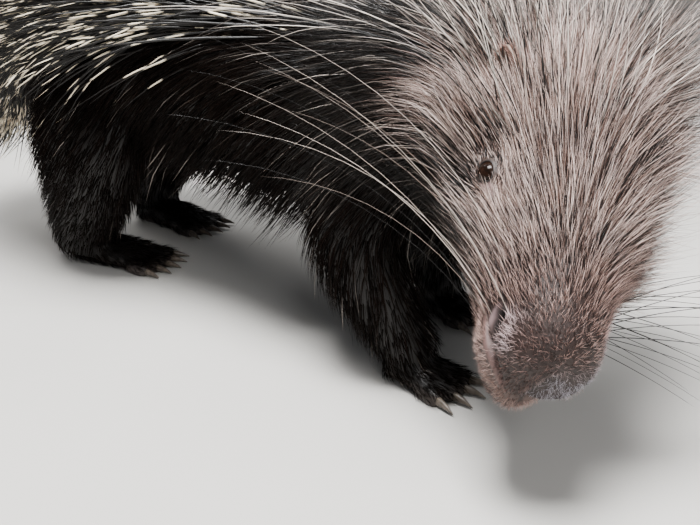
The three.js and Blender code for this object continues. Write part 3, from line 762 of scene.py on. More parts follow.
class Skin:
    """The skin's triangles and, at its vertices, the lie and look of the coat."""

    def __init__(self, piece):
        mesh = piece.data
        self.points = positions(mesh)
        self.normals = read(mesh.vertices, "normal", 3)
        self.edges = edge_pairs(mesh)
        mesh.calc_loop_triangles()
        self.triangles = read(mesh.loop_triangles, "vertices", 3, np.int64)
        loops = read(mesh.loop_triangles, "loops", 3, np.int64)
        self.uv = read(mesh.uv_layers["OFBake"].data, "uv", 2)[loops]
        self.vertex_uv = np.zeros((len(self.points), 2))
        self.vertex_uv[self.triangles] = self.uv
        a, b, c = (self.points[self.triangles[:, k]] for k in range(3))
        self.areas = np.linalg.norm(np.cross(b - a, c - a), axis=1) / 2
        self.tree = tree_of(self.points)
        self.find_lofts()

    def find_lofts(self):
        """The nearest loft, and the place along and round it, of each vertex."""
        spots, rows = [], []
        for index, loft in enumerate(lofts):
            s, angle = loft.grid(64, 64)
            spots.append(loft.point(s, angle).reshape(-1, 3))
            s = s.ravel()
            rows.append(np.column_stack([np.full(s.size, index), s, angle.ravel(), loft.tangent(s)]))
        found = np.vstack(rows)[nearest_in(tree_of(np.vstack(spots)), self.points)]
        self.loft = found[:, 0].astype(int)
        self.s, self.angle = found[:, 1], found[:, 2]
        self.ahead = found[:, 3:]

    def nearest(self, spots):
        return nearest_in(self.tree, spots)

    def on(self, *names):
        """1 on the lofts of these names, 0 elsewhere."""
        return np.isin(self.loft, [i for i, loft in enumerate(lofts) if loft.name in names]).astype(float)


# Coat: how it lies and what it looks like at each vertex of the skin
def by_x(x, pairs):
    """Straight lines between (x, value) pairs."""
    return np.interp(x, *zip(*pairs))


def lay(skin, on, flow, **values):
    """Sets the lie of the coat and its other values on a part of the skin."""
    skin.flow[on] = flow
    for name, value in values.items():
        getattr(skin, name)[on] = value


def trunk_coat(skin, on):
    s, rise = skin.s[on], np.sin(skin.angle[on])
    belly = ramp(-rise, 0.35, 0.9)
    rump = ramp(s, 0.24, 0.06)
    shoulder = ramp(s, 0.55, 0.85)
    chest = ramp(s, 0.4, 0.6) * bell(rise + 0.65, 0.4)
    steep = 1.0 + 0.1 * (1 - np.abs(rise)) + 0.9 * rump
    length = 62 + 14 * shoulder * (1 - belly) + 22 * rump - 14 * belly + 14 * chest
    lift = 13 + 5 * ramp(s, 0.6, 0.9) + 18 * bell(rise + 0.65, 0.35) + 14 * chest
    pale = 0.012 + 0.07 * shoulder * ramp(rise, -0.1, 0.4)
    flow = -skin.ahead[on] - UP * steep[:, None]
    lay(skin, on, flow, length=length, lift=lift, pale=pale, width=0.95, stray=0.12)


def neck_coat(skin, on):
    rise = np.sin(skin.angle[on])
    throat = ramp(-rise, 0.3, 0.9)
    steep = 0.2 + 0.4 * (1 - np.abs(rise)) + 1.4 * throat
    pale = 0.02 + (0.035 + 0.085 * ramp(skin.s[on], 0.5, 0.9)) * ramp(rise, -0.3, 0.5)
    flow = -skin.ahead[on] - UP * steep[:, None]
    lay(skin, on, flow, length=82 - 14 * throat, lift=20, pale=pale, width=0.82, stray=0.13)


def head_coat(skin, on):
    points = skin.points[on]
    local = to_head(points)
    x, y, z = local.T
    throat = ramp(-np.sin(skin.angle[on]), 0.3, 0.9)
    low = ramp(z, 12, -18) * ramp(x, 62, 42)
    temple = ramp(x, 8, -28) * ramp(np.abs(y), 30, 46) * ramp(z, 48, 30)
    left = ramp(y, 4, 28) * ramp(x, 90, 58)
    far = ramp(y, 6, 32) * ramp(x, 60, 15)
    crown = ramp(x, -10, -50) * ramp(y, -10, 20)
    pad = ramp(x, 88, 102)
    spread = CHEEKWARD * (0.42 * y / 50 * ramp(x, 100, 60))[:, None]
    flow = -NOSEWARD + spread + CHEEKWARD * (0.8 * pad * np.clip(y / 12, -1, 1) + 0.3 * crown)[:, None]
    flow -= CROWNWARD * (1.6 * pad * ramp(z, 24, -4))[:, None] + UP * (0.5 * low)[:, None]
    length = by_x(x, HEAD_LENGTHS) * (1 - 0.15 * throat) + 26 * left + 46 * crown + 20 * low
    lift = by_x(x, HEAD_LIFTS) + 37 * left + 8 * crown
    pale = by_x(x, HEAD_PALE) * (1 - 0.8 * low) * (1 - 0.42 * far)
    below = mouth_height(y) - z
    beard = ramp(below, 0, 3) * ramp(below, 24, 15) * ramp(x, 62, 78)
    length += (BEARD_LENGTH - length) * beard
    lift += BEARD_RAISED * beard
    pale += (BEARD_PALE - pale) * beard
    # Painted sheen: more pale hairs low on the pad's left, so that it reads brighter
    pale += 0.3 * pad * ramp(y, -6, 4) * ramp(z, 14, 0)
    for side in (1, -1):
        ahead, over, out = eye_view(points, side)
        outside = out > -20
        near = ramp(np.hypot(np.maximum(ahead - 4, 0) * 0.6, over), 21, 11) * ramp(ahead, -24, -6) * outside
        short = 3.5 + 0.45 * np.maximum(np.hypot(ahead, over) - 8, 0)
        length += (np.minimum(short, length) - length) * near
        lift *= 1 - 0.45 * near
        # Hairs in front of the left eye end before they cover it
        ends_before = np.minimum(length, np.maximum(0.9 * ahead - 3, short))
        in_front = ramp(np.abs(over), 17, 9) * ramp(ahead, -4, 6) * outside * (side > 0)
        length += (ends_before - length) * in_front
        brow = ramp(np.abs(over), 26, 12) * bell(ahead + 24, 14) * outside
        pale += near * (0.05 + 0.16 * ramp(ahead, -6, -14)) + 0.22 * brow
        parting = np.clip(over / 6, -1, 1) * 0.9 * near * ramp(ahead, -8, 3)
        flow += eye_axes(side)[1] * parting[:, None]
        gap = np.linalg.norm(local - np.array(EAR_AT) * (1, side, 1) - (4, side * 5, 4), axis=1)
        pale += 0.22 * ramp(gap, 32, 10)
        length = np.minimum(length, np.maximum(gap * 1.3 + 3, 12) + 60 * ramp(x, -44, -58))
        u, v, away = nostril_view(local, side)
        # Beside each nostril more hairs are pale: real pale tufts, made brighter as a painted glint
        pale += 0.6 * bell(v + 9, 5) * ramp(np.abs(u), 15, 8) * (away < NOSTRIL_REACH)
    face = ramp(x, -85, -45) * (1 - 0.85 * low) * (1 - 0.15 * temple)
    lay(skin, on, flow, length=length, lift=lift, pale=pale, width=by_x(x, HEAD_WIDTHS),
        stray=by_x(x, HEAD_STRAY), face=face, muzzle=ramp(x, 45, 80), beard=beard)


def leg_coat(skin, on):
    length = 44 - 28 * ramp(skin.s[on], 0.25, 0.95)
    lay(skin, on, skin.ahead[on] - FORWARD * 0.3, length=length, lift=20, pale=0.015, width=0.8, stray=0.18)


def foot_coat(skin, on):
    lay(skin, on, skin.ahead[on] - UP * 0.1, length=13, lift=22, pale=0.02, width=0.6, stray=0.25)


def tail_coat(skin, on):
    lay(skin, on, skin.ahead[on], length=34, lift=15, pale=0.08, width=0.9, stray=0.15)


COATS = {
    "trunk": trunk_coat, "neck": neck_coat, "head": head_coat, "tail": tail_coat, "foot": foot_coat,
    "toe": foot_coat,
}
# Values at each vertex: hair length, lift and width, how far hairs stray from the lie, share of pale hairs,
# and where face, muzzle and beard are
FIELDS = ("length", "lift", "width", "stray", "pale", "face", "muzzle", "beard")


def bareness(points):
    """1 where the skin is bare: in and round the eyes, on the lips, in the nostrils and on the soles."""
    local = to_head(points)
    x, y, z = local.T
    front = ramp(x, 64, 80)
    height = z - mouth_height(y)
    side_lip = ramp(np.abs(y), 16, 27)
    lower = ramp(height, -4 - 2 * side_lip, -1.5 - 2 * side_lip)
    bare = front * lower * ramp(height, 2, 0.8) * (1 - 0.45 * side_lip)
    cleft = bell(y, 1.5) * ramp(x, 92, 100) * ramp(z, 10, 2) * ramp(z, MOUTH_Z - 6, MOUTH_Z - 4)
    bare = np.maximum(bare, cleft)
    for side in (1, -1):
        u, v, away = nostril_view(local, side)
        slit = ramp(np.hypot(u / 3.2, v - 1), 5.0, 3.6)
        bare = np.maximum(bare, (away < NOSTRIL_REACH) * np.maximum(slit, nostril_fold(u, v)))
        ahead, over, out = eye_view(points, side)
        rim = eye_rim(ahead, over)
        lids = np.maximum(ramp(rim, 1.6, 1.3), lid_patch(ahead, over))
        bare = np.maximum(bare, (np.abs(out) < 20) * lids)
    return np.maximum(bare, ramp(points[:, 2], 0.005, 0.003))


def nostril_fold(u, v):
    """1 on the bare fold outward of the slit's upper half."""
    return bell(v - 6.0, 2.6) * ramp(u, 6, 0) * ramp(u, -13, -9)


def lid_patch(ahead, over):
    """1 on the bare corner of the lids, toward the nose."""
    return ramp(np.hypot((ahead - 10) / 1.4, over + 2.4), 5.6, 4.0)


def settle_coat(skin):
    count = len(skin.points)
    skin.flow = np.zeros((count, 3))
    for name in FIELDS:
        setattr(skin, name, np.zeros(count))
    for index, loft in enumerate(lofts):
        on = skin.loft == index
        COATS.get(loft.name, leg_coat)(skin, on)
    skin.flow = smoothed(unit(skin.flow), skin.edges, 30)
    for name in FIELDS:
        setattr(skin, name, smoothed(getattr(skin, name), skin.edges, 14))
    across = skin.normals * dot(skin.flow, skin.normals)[:, None]
    skin.flow = unit(skin.flow - across)
    skin.bare = bareness(skin.points)


class Roots:
    """Places on the skin drawn at random, with the coat's values there."""

    def __init__(self, skin, count, weight):
        chance = skin.areas * weight[skin.triangles].mean(1)
        totals = np.cumsum(chance)
        picks = np.searchsorted(totals, rng.random(count) * totals[-1])
        picks = np.minimum(picks, len(totals) - 1)
        mix = rng.random((count, 2))
        flip = mix.sum(1) > 1
        mix[flip] = 1 - mix[flip]
        self.mix = np.column_stack([1 - mix.sum(1), mix])[:, :, None]
        self.corners = skin.triangles[picks]
        self.count = count
        self.at = self.value(skin.points)
        self.normal = unit(self.value(skin.normals))
        flow = self.value(skin.flow)
        self.flow = unit(flow - self.normal * dot(flow, self.normal)[:, None])
        self.uv = (skin.uv[picks] * self.mix).sum(1)
        for name in FIELDS:
            setattr(self, name, self.value(getattr(skin, name)))

    def value(self, values):
        found = values[self.corners]
        mix = self.mix if found.ndim == 3 else self.mix[:, :, 0]
        return (found * mix).sum(1)


def about(values, share):
    values = np.asarray(values, float)
    return values * (1 + share * rng.uniform(-1, 1, values.shape))


def grow(skin, roots, length, lift, steps, sway, droop=0.0, hug=0.0, clear=0.6):
    """Points along each hair, from its root: it leaves the skin at its lift and bends to the lie of the coat.
    Lengths in metres, lift and droop in radians."""
    jitter = rng.normal(0, sway, roots.count)
    across = np.cross(roots.normal, roots.flow)
    flow = unit(roots.flow + across * jitter[:, None])
    heading = flow * np.cos(lift)[:, None] + roots.normal * np.sin(lift)[:, None]
    step = (length / steps)[:, None]
    at = roots.at - heading * 1.2 * MM
    path = [at]
    bend = rng.normal(0, 0.05, (roots.count, 3))
    for k in range(steps):
        at = at + heading * step
        if hug > 0 and k < steps - 1:
            near = skin.nearest(at)
            normal = skin.normals[near]
            height = dot(at - skin.points[near], normal)
            low = clear * MM - height
            at = at + normal * np.maximum(low, 0)[:, None]
            lie = skin.flow[near] + across * jitter[:, None] * 0.6
            rise = lift * (1 - (k + 1) / steps * 0.75)
            aim = unit(lie) * np.cos(rise)[:, None] + normal * np.sin(rise)[:, None]
            heading = heading * (1 - hug) + aim * hug
        heading = unit(heading - UP * droop / steps + bend)
        at[:, 2] = np.maximum(at[:, 2], HAIR_FLOOR)
        path.append(at)
    return np.stack(path, 1)


def clumped(paths, every, strength):
    """Each hair is drawn toward the nearest of every so many, more so at its tip."""
    count, points = paths.shape[:2]
    leaders = np.arange(0, count, every)
    chosen = leaders[nearest_in(tree_of(paths[leaders, 0]), paths[:, 0])]
    pull = np.linspace(0, 1, points)[None, :, None] ** 1.4
    pull = pull * strength * rng.uniform(0.5, 1, (count, 1, 1))
    return paths + (paths[chosen] - paths) * pull


def kept_inside(paths):
    """Hairs that would reach past the box are drawn back toward their roots."""
    low, high = (np.array(corner) for corner in CAD_BOX)
    room = (high - low) * BEYOND_SHARE + BEYOND
    low, high = low - room, high + room
    low[2] = HAIR_FLOOR
    root = paths[:, :1]
    away = paths - root
    limit = np.where(away > 0, high - root, low - root)
    share = np.where(np.abs(away) > 1e-6, limit / np.where(away == 0, 1, away), 1.0)
    shrink = np.clip(share.min((1, 2)), 0.2, 1)[:, None, None]
    return root + away * shrink


# Strands as closed, tapered meshes
def strand_template(rings, sides):
    """Corner tables of one strand: vertex, place along and place round of each corner, and the face sizes."""
    corners, sizes = [], []
    for j in range(rings - 1):
        for k in range(sides):
            after = (k + 1) % sides
            corners += [(j * sides + k, j, k), (j * sides + after, j, k + 1)]
            corners += [((j + 1) * sides + after, j + 1, k + 1), ((j + 1) * sides + k, j + 1, k)]
            sizes.append(4)
    last, tip = (rings - 1) * sides, rings * sides
    for k in range(sides):
        corners += [(last + k, rings - 1, k), (last + (k + 1) % sides, rings - 1, k + 1), (tip, rings, k)]
        sizes.append(3)
    corners += [(k, 0, k) for k in reversed(range(sides))]
    sizes.append(sides)
    return np.array(corners), np.array(sizes)


def strand_points(paths, radii, sides):
    """Rings of vertices round each path, and the tip."""
    ahead = np.empty_like(paths)
    ahead[:, 1:-1] = paths[:, 2:] - paths[:, :-2]
    ahead[:, 0] = paths[:, 1] - paths[:, 0]
    ahead[:, -1] = paths[:, -1] - paths[:, -2]
    ahead = unit(ahead)
    chord = unit(paths[:, -1] - paths[:, 0])
    spin = rng.normal(size=chord.shape)
    side = unit(np.cross(chord, spin))[:, None]
    side = unit(side - ahead * dot(ahead, np.broadcast_to(side, ahead.shape))[..., None])
    over = np.cross(ahead, side)
    turns = 2 * pi * np.arange(sides) / sides
    ring = np.cos(turns)[:, None] * side[:, :-1, None] + np.sin(turns)[:, None] * over[:, :-1, None]
    around = paths[:, :-1, None] + ring * radii[:, :, None, None]
    count = len(paths)
    return np.concatenate([around.reshape(count, -1, 3), paths[:, -1:]], 1)


def strand_piece(name, paths, radii, tints, uv, sides, slot, material):
    count, rings = radii.shape
    points = strand_points(paths, radii, sides)
    corners, sizes = strand_template(rings, sides)
    per = points.shape[1]
    index = corners[:, 0][None] + per * np.arange(count)[:, None]
    mesh = bpy.data.meshes.new(name)
    mesh.vertices.add(count * per)
    mesh.vertices.foreach_set("co", points.astype(np.float32).ravel())
    mesh.loops.add(index.size)
    mesh.loops.foreach_set("vertex_index", index.astype(np.int32).ravel())
    starts = np.concatenate([[0], np.cumsum(sizes)[:-1]])
    mesh.polygons.add(count * len(sizes))
    offsets = starts[None] + len(corners) * np.arange(count)[:, None]
    mesh.polygons.foreach_set("loop_start", offsets.astype(np.int32).ravel())
    mesh.update(calc_edges=True)
    patch = np.column_stack([corners[:, 2] / sides - 0.5, corners[:, 1] / rings - 0.5]) * STRAND_PATCH
    layer = mesh.uv_layers.new(name="OFBake")
    layer.data.foreach_set("uv", (uv[:, None] + patch[None]).astype(np.float32).ravel())
    shades = np.repeat(tints[:, :-1], sides, axis=1)
    shades = np.concatenate([shades, tints[:, -1:]], 1)
    shades = np.concatenate([shades, np.ones((*shades.shape[:2], 1))], 2)
    tint = mesh.color_attributes.new("tint", "FLOAT_COLOR", "POINT")
    tint.data.foreach_set("color", shades.astype(np.float32).ravel())
    dressed(in_scene(name, mesh), material, slot)


def strand_pieces(name, paths, radii, tints, uv, sides, slot, material):
    """The strands as pieces of fewer than 200,000 triangles each."""
    rings = radii.shape[1]
    each = 2 * sides * (rings - 1) + sides + sides - 2
    room = PIECE_TRIANGLES // each
    parts = -(-len(paths) // room)
    for k in range(parts):
        cut = slice(k * len(paths) // parts, (k + 1) * len(paths) // parts)
        label = name if parts == 1 else f"{name}_{k + 1}"
        strand_piece(label, paths[cut], radii[cut], tints[cut], uv[cut], sides, slot, material)
    return each * len(paths)


def blend(a, b, share):
    share = np.asarray(share)[..., None]
    return a * (1 - share) + b * share


def fur_tints(roots, rings, is_pale):
    """Dark hairs with paler ones among them: those of the body are pale only toward their tips."""
    count = roots.count
    along = np.linspace(0, 1, rings + 1)[None]
    shade = rng.uniform(0.4, 1.6, (count, 1))
    dark = blend(blend(BLACK, BROWN, rng.random(count)), FACE_DARK * shade, roots.face)
    dark = blend(dark, MUZZLE_DARK * shade, roots.muzzle)
    mixed = rng.random(count)
    pale = blend(blend(GREY, SILVER, mixed ** 2), blend(FACE_LOW, FACE_HIGH, mixed ** 1.9), roots.face)
    local = to_head(roots.at)
    x, y, z = local.T
    pad = ramp(x, 84, 98)
    sheen = blend(MUZZLE_PALE, PAD_BROWN, pad * ramp(y, 2, -6))
    # Low on the pad's left the pale hairs are bluish: partly real bristles, partly a painted sheen
    sheen = blend(sheen, PAD_BLUE_SHEEN, pad * ramp(y, -8, 2) * ramp(z, 22, 2))
    # Beside each nostril the pale hairs are mauve white: partly real tufts, partly a painted glint
    for side in (1, -1):
        u, v, away = nostril_view(local, side)
        sheen = blend(sheen, NOSTRIL_PALE_GLINT, bell(v + 9, 6) * ramp(np.abs(u), 15, 8) * (away < NOSTRIL_REACH))
    pale = blend(pale, blend(MUZZLE_DARK * 2, sheen, mixed ** 0.7), roots.muzzle)
    pale = blend(pale, blend(BEARD_LOW, BEARD_HIGH, mixed), roots.beard)
    tip = blend(dark, pale, is_pale)
    root = blend(dark * 0.6, tip * 0.6, is_pale * roots.face)
    start = (rng.uniform(0.2, 0.7, count) * (1 - roots.face))[:, None]
    return blend(root[:, None], tip[:, None], ramp(along, start, start + 0.4))


def taper(rings, width, thin=0.45):
    """Radii from root to the last ring before the tip, in metres."""
    shape = 1 - (1 - thin) * np.linspace(0, 1, rings) ** 1.5
    return width[:, None] * shape[None] * MM / 2


def add_fur(skin, name, weight, count, rings, every, strength, slot, material):
    """One layer of the coat, where weight gives how densely it grows. Pale hairs are longer, thinner and
    more raised than dark ones."""
    roots = Roots(skin, count, weight * (1 - skin.bare) ** 2)
    is_pale = (rng.random(count) < roots.pale).astype(float)
    length = about(roots.length, 0.25) * (0.85 + 0.25 * is_pale) * MM
    lift = radians(1) * about(roots.lift, 0.3) * (0.94 + 0.12 * is_pale)
    hug = 0.45 if rings > 2 else 0.0
    paths = grow(skin, roots, length, lift, rings, droop=0.12, hug=hug, sway=roots.stray)
    paths = kept_inside(clumped(paths, every, strength))
    radii = taper(rings, about(roots.width, 0.25) * (1.1 - 0.3 * is_pale))
    tints = fur_tints(roots, rings, is_pale)
    return strand_pieces(name, paths, radii, tints, roots.uv, 3, slot, material)


# Materials
class Nodes:
    """A node material, with short ways to add and link nodes."""

    def __init__(self, name):
        self.material = bpy.data.materials.new(name)
        self.material.use_nodes = True
        self.tree = self.material.node_tree
        self.shader = self.tree.nodes["Principled BSDF"]

    def add(self, kind, **settings):
        node = self.tree.nodes.new(kind)
        for key, value in settings.items():
            setattr(node, key, value)
        return node

    def link(self, source, target):
        self.tree.links.new(source, target)

    def tint(self):
        """The colours on the mesh."""
        return self.add("ShaderNodeAttribute", attribute_name="tint").outputs["Color"]

    def noise(self, scale, detail=4.0, stretch=None):
        where = self.add("ShaderNodeTexCoord").outputs["Object"]
        texture = self.add("ShaderNodeTexNoise")
        texture.inputs["Scale"].default_value = scale
        texture.inputs["Detail"].default_value = detail
        if stretch:
            mapping = self.add("ShaderNodeMapping")
            mapping.inputs["Scale"].default_value = stretch
            self.link(where, mapping.inputs["Vector"])
            where = mapping.outputs["Vector"]
        self.link(where, texture.inputs["Vector"])
        return texture.outputs["Fac"]

    def ramp(self, source, *stops):
        node = self.add("ShaderNodeValToRGB")
        for element, (at, colour) in zip(node.color_ramp.elements, stops):
            element.position = at
            element.color = (*colour, 1)
        self.link(source, node.inputs["Fac"])
        return node.outputs["Color"]

    def mix(self, kind, factor, a, b):
        node = self.add("ShaderNodeMix", data_type="RGBA", blend_type=kind)
        for source, socket in ((factor, node.inputs[0]), (a, node.inputs[6]), (b, node.inputs[7])):
            if isinstance(source, (int, float)):
                socket.default_value = source
            elif isinstance(source, tuple):
                socket.default_value = (*source, 1)
            else:
                self.link(source, socket)
        return node.outputs[2]

    def bump(self, source, strength, depth):
        node = self.add("ShaderNodeBump")
        node.inputs["Strength"].default_value = strength
        node.inputs["Distance"].default_value = depth
        self.link(source, node.inputs["Height"])
        self.link(node.outputs["Normal"], self.shader.inputs["Normal"])

    def shaded(self, colour, roughness, shine):
        self.link(colour, self.shader.inputs["Base Color"])
        self.shader.inputs["Roughness"].default_value = roughness
        self.shader.inputs["Specular IOR Level"].default_value = shine
        return self.material


def noisy_material(name):
    """A material of two tones mixed by noise, from its row of the table."""
    gloss, noise, tones, tinted, *bump = MATERIALS[name]
    nodes = Nodes(name)
    colour = nodes.ramp(nodes.noise(*noise), *tones)
    if tinted:
        colour = nodes.mix("MULTIPLY", 1.0, nodes.tint(), colour)
    if bump:
        grain, strength, depth = bump
        nodes.bump(nodes.noise(*grain), strength, depth)
    return nodes.shaded(colour, *gloss)


def quill_material():
    """Black with cream bands: red of the tint is the phase of the bands, green how bright they are and blue
    how strong."""
    nodes = Nodes("quill_horn")
    split = nodes.add("ShaderNodeSeparateColor")
    nodes.link(nodes.tint(), split.inputs["Color"])
    wave = nodes.add("ShaderNodeMath", operation="COSINE")
    nodes.link(split.outputs["Red"], wave.inputs[0])
    band = nodes.ramp(wave.outputs["Value"], (QUILL_BAND - 0.1, (0, 0, 0)), (QUILL_BAND + 0.1, (1, 1, 1)))
    cream = nodes.mix("MULTIPLY", 1.0, tuple(CREAM), split.outputs["Green"])
    strong = nodes.mix("MULTIPLY", 1.0, band, split.outputs["Blue"])
    return nodes.shaded(nodes.mix("MIX", strong, tuple(BLACK), cream), *QUILL_GLOSS)


def paint_skin(skin, piece):
    local = to_head(skin.points)
    x, y, z = local.T
    tint = np.broadcast_to(UNDER_COAT, skin.points.shape).copy()
    tint = blend(tint, FACE_DARK * 0.6, skin.face)
    tint = blend(tint, MUZZLE_DARK * 0.9, skin.muzzle)
    tint = blend(tint, CHIN_BROWN, skin.beard)
    height = z - mouth_height(y)
    lips = skin.bare * ramp(x, 60, 78) * ramp(height, -20, -16) * ramp(height, 6, 2)
    tint = blend(tint, blend(CHIN_BROWN, LIP_PINK, ramp(np.abs(y), 10, 22)), lips)
    # Painted shade: the cleft down the middle of the upper lip is darkened
    tint = blend(tint, MUZZLE_DARK * 0.25, bell(y, 1.3) * ramp(x, 92, 100) * ramp(z, 12, 4))
    # Painted shade: a near-black line along the mouth, where the lips meet
    tint = blend(tint, LIP_PINK * 0.08, bell(height, 1.1) * ramp(x, 50, 70))
    for side in (1, -1):
        ahead, over, out = eye_view(skin.points, side)
        round_eye = np.sqrt(ahead ** 2 + over ** 2 + out ** 2)
        rim = eye_rim(ahead, over)
        tint = blend(tint, LID_BROWN, ramp(round_eye, 19, 13))
        tint = blend(tint, BARE_LILAC, lid_patch(ahead, over) * (round_eye < EYE_REACH))
        tint = blend(tint, LID_BROWN * 0.25, ramp(rim, 1.35, 1.1) * (round_eye < EYE_REACH))
        u, v, away = nostril_view(local, side)
        close = away < NOSTRIL_REACH
        tint = blend(tint, BARE_LILAC * 0.62, nostril_fold(u, v) * close)
        # Painted shade: the slit and the round hole at its upper end are painted near-black
        slit = bell(v - SLIT_AT, 3.0) * ramp(np.abs(u), 13, 9)
        hole = np.maximum(slit, bell(u - HOLE_AT, 4.0) * bell(v - SLIT_AT, 4.0))
        tint = blend(tint, BARE_LILAC * 0.02, np.minimum(hole * 1.3, 1) * close)
    tint = blend(tint, SOLE, ramp(skin.points[:, 2], 0.012, 0.006))
    shades = np.column_stack([tint, np.ones(len(tint))])
    attribute = piece.data.color_attributes.new("tint", "FLOAT_COLOR", "POINT")
    attribute.data.foreach_set("color", shades.astype(np.float32).ravel())


# Eyes, ears and claws
def add_eyes():
    material = noisy_material("eye")
    for side, hand in SIDES:
        ball = ball_shape(head_place(EYE_AT, side), (EYE_RADIUS,) * 3, eye_axes(side), 48, 32)
        dressed(mesh_object(f"eye_ball_{hand}", *ball), material, "eye", f"eye_{hand}")


def ear_point(u, v):
    """A place on the middle sheet of the ear's cup, in millimetres: across from -1 to 1, up from 0 to 1."""
    width = EAR_WIDTH / 2 * np.sin(pi * (0.16 + 0.72 * v)) ** 0.7
    bowl = EAR_BOWL * np.cos(u * pi / 2) * np.sin(pi * (0.1 + 0.8 * v))
    return np.stack([u * width, -bowl, v * EAR_HEIGHT - EAR_SUNK + 2.5 * (1 - u * u) * v], -1)


def ear_sheet(u, v):
    """Places on the ear's middle sheet, and its normals there."""
    sheet = ear_point(u, v)
    step = 0.01
    return sheet, unit(np.cross(ear_point(u + step, v) - sheet, ear_point(u, v + step) - sheet))


def ear_axes(side):
    tall = head_direction(-0.62, side * 0.52, 0.6)
    opening = head_direction(0.55, side * 0.8, 0.1)
    opening = unit(opening - tall * dot(opening, tall))
    return np.array((np.cross(opening, tall), opening, tall))


def add_ears():
    rows, columns = 25, 21
    half = rows * columns
    u, v = np.meshgrid(np.linspace(-1, 1, rows), np.linspace(0, 1, columns), indexing="ij")
    sheet, normal = ear_sheet(u, v)
    rim = EAR_WALL / 2 * (1 - 0.4 * np.abs(u) ** 6)[..., None]
    local = np.concatenate([(sheet + normal * rim).reshape(-1, 3), (sheet - normal * rim).reshape(-1, 3)])
    faces = []
    for r in range(rows - 1):
        for c in range(columns - 1):
            a = r * columns + c
            face = (a, a + columns, a + columns + 1, a + 1)
            faces += [face, tuple(half + i for i in reversed(face))]
    edge = [r * columns for r in range(rows)]
    edge += [(rows - 1) * columns + c for c in range(1, columns)]
    edge += [r * columns + columns - 1 for r in range(rows - 2, -1, -1)]
    edge += range(columns - 2, 0, -1)
    for a, b in zip(edge, edge[1:] + edge[:1]):
        faces.append((b, a, half + a, half + b))
    material = noisy_material("ear")
    for side, hand in SIDES:
        points = head_place(EAR_AT, side) + local @ ear_axes(side) * MM
        dressed(mesh_object(f"ear_cup_{hand}", points, faces), material, "ear_skin", f"ear_{hand}")


def add_ear_fuzz(skin, material):
    """Short pale hair on both faces of each ear, pointing up and outward."""
    count, rings = EAR_HAIRS, 3
    for side, hand in SIDES:
        u, v = rng.uniform(-1, 1, count), rng.random(count)
        sheet, normal = ear_sheet(u, v)
        normal *= rng.choice((-1, 1), count)[:, None]
        outward = np.column_stack([0.5 * u, np.zeros(count), np.ones(count)])
        outward += rng.normal(0, 0.25, (count, 3))
        heading = unit(unit(outward) + 0.7 * normal)
        length = rng.uniform(3, 7, count)[:, None]
        share = np.linspace(0, 1, rings + 1)[None, :, None]
        local = (sheet + normal * EAR_WALL / 2)[:, None] + heading[:, None] * length[:, None] * share
        paths = kept_inside(head_place(EAR_AT, side) + local @ ear_axes(side) * MM)
        radii = taper(rings, about(np.full(count, 0.3), 0.2))
        shade = blend(EAR_LOW, EAR_HIGH, rng.random(count))
        tints = np.broadcast_to(shade[:, None], (count, rings + 1, 3))
        uv = skin.vertex_uv[skin.nearest(paths[:, 0])]
        strand_pieces(f"ear_fuzz_{hand}", paths, radii, tints, uv, 3, "ear_skin", material)


def add_claws():
    material = noisy_material("claw")
    for node, tip, direction in claws:
        rows = []
        for share in np.linspace(-0.12, 1, 9):
            at = tip + direction * (CLAW_GAP + CLAW_LENGTH * share)
            height = tip[2] + (CLAW_TIP_HEIGHT - tip[2]) * max(share, 0) ** 2
            radius = CLAW_RADIUS * (1 - 0.88 * max(share, 0) ** 1.3)
            rows.append((at[0], at[1], height, radius * 0.8, radius, radius, 0))
        dressed(mesh_object(f"{node}_horn", *Loft("claw", rows, UP).shape(24, 14)), material, "claw", node)


# Quills, crest and whiskers
def add_quills(skin, material):
    s, rise = skin.s, np.sin(skin.angle)
    edge = 0.05 + 0.5 * ramp(s, 0.08, 0.34)
    forward = 0.14 * ramp(rise, 0.55, 0.95)
    weight = skin.on("trunk") * ramp(s - forward, 0.66, 0.44) * np.clip((rise - edge + 0.12) / 0.36, 0, 1)
    count, rings = QUILLS, 6
    roots = Roots(skin, count, weight)
    height = np.clip(roots.value(rise), 0, 1)
    length = about(QUILL_LENGTH + QUILL_LONGER * height ** 1.5, 0.25)
    lift = radians(1) * about(6 + 12 * height, 0.35)
    paths = kept_inside(grow(skin, roots, length * MM, lift, rings, sway=0.12, droop=0.1, hug=0.15, clear=3))
    shape = np.interp(np.linspace(0, 1, rings), (0, 0.3, 0.7, 1), (0.6, 1, 0.75, 0.35))
    radii = about(0.62 + 0.6 * height, 0.25)[:, None] * shape[None] * MM
    from_tip = (1 - np.linspace(0, 1, rings + 1))[None] * length[:, None]
    phase = 2 * pi * (from_tip / rng.uniform(*QUILL_BANDS, (count, 1)) + rng.random((count, 1)))
    bright = np.broadcast_to(rng.uniform(0.72, 1.0, (count, 1)), phase.shape)
    often = 0.34 + 0.5 * height + 0.4 * ramp(roots.value(s), 0.4, 0.2)
    banded = rng.random((count, 1)) < often[:, None]
    tints = np.stack([phase, bright, ramp(from_tip, 160, 100) * banded], -1)
    return strand_pieces("quills", paths, radii, tints, roots.uv, 4, "body_coat", material)


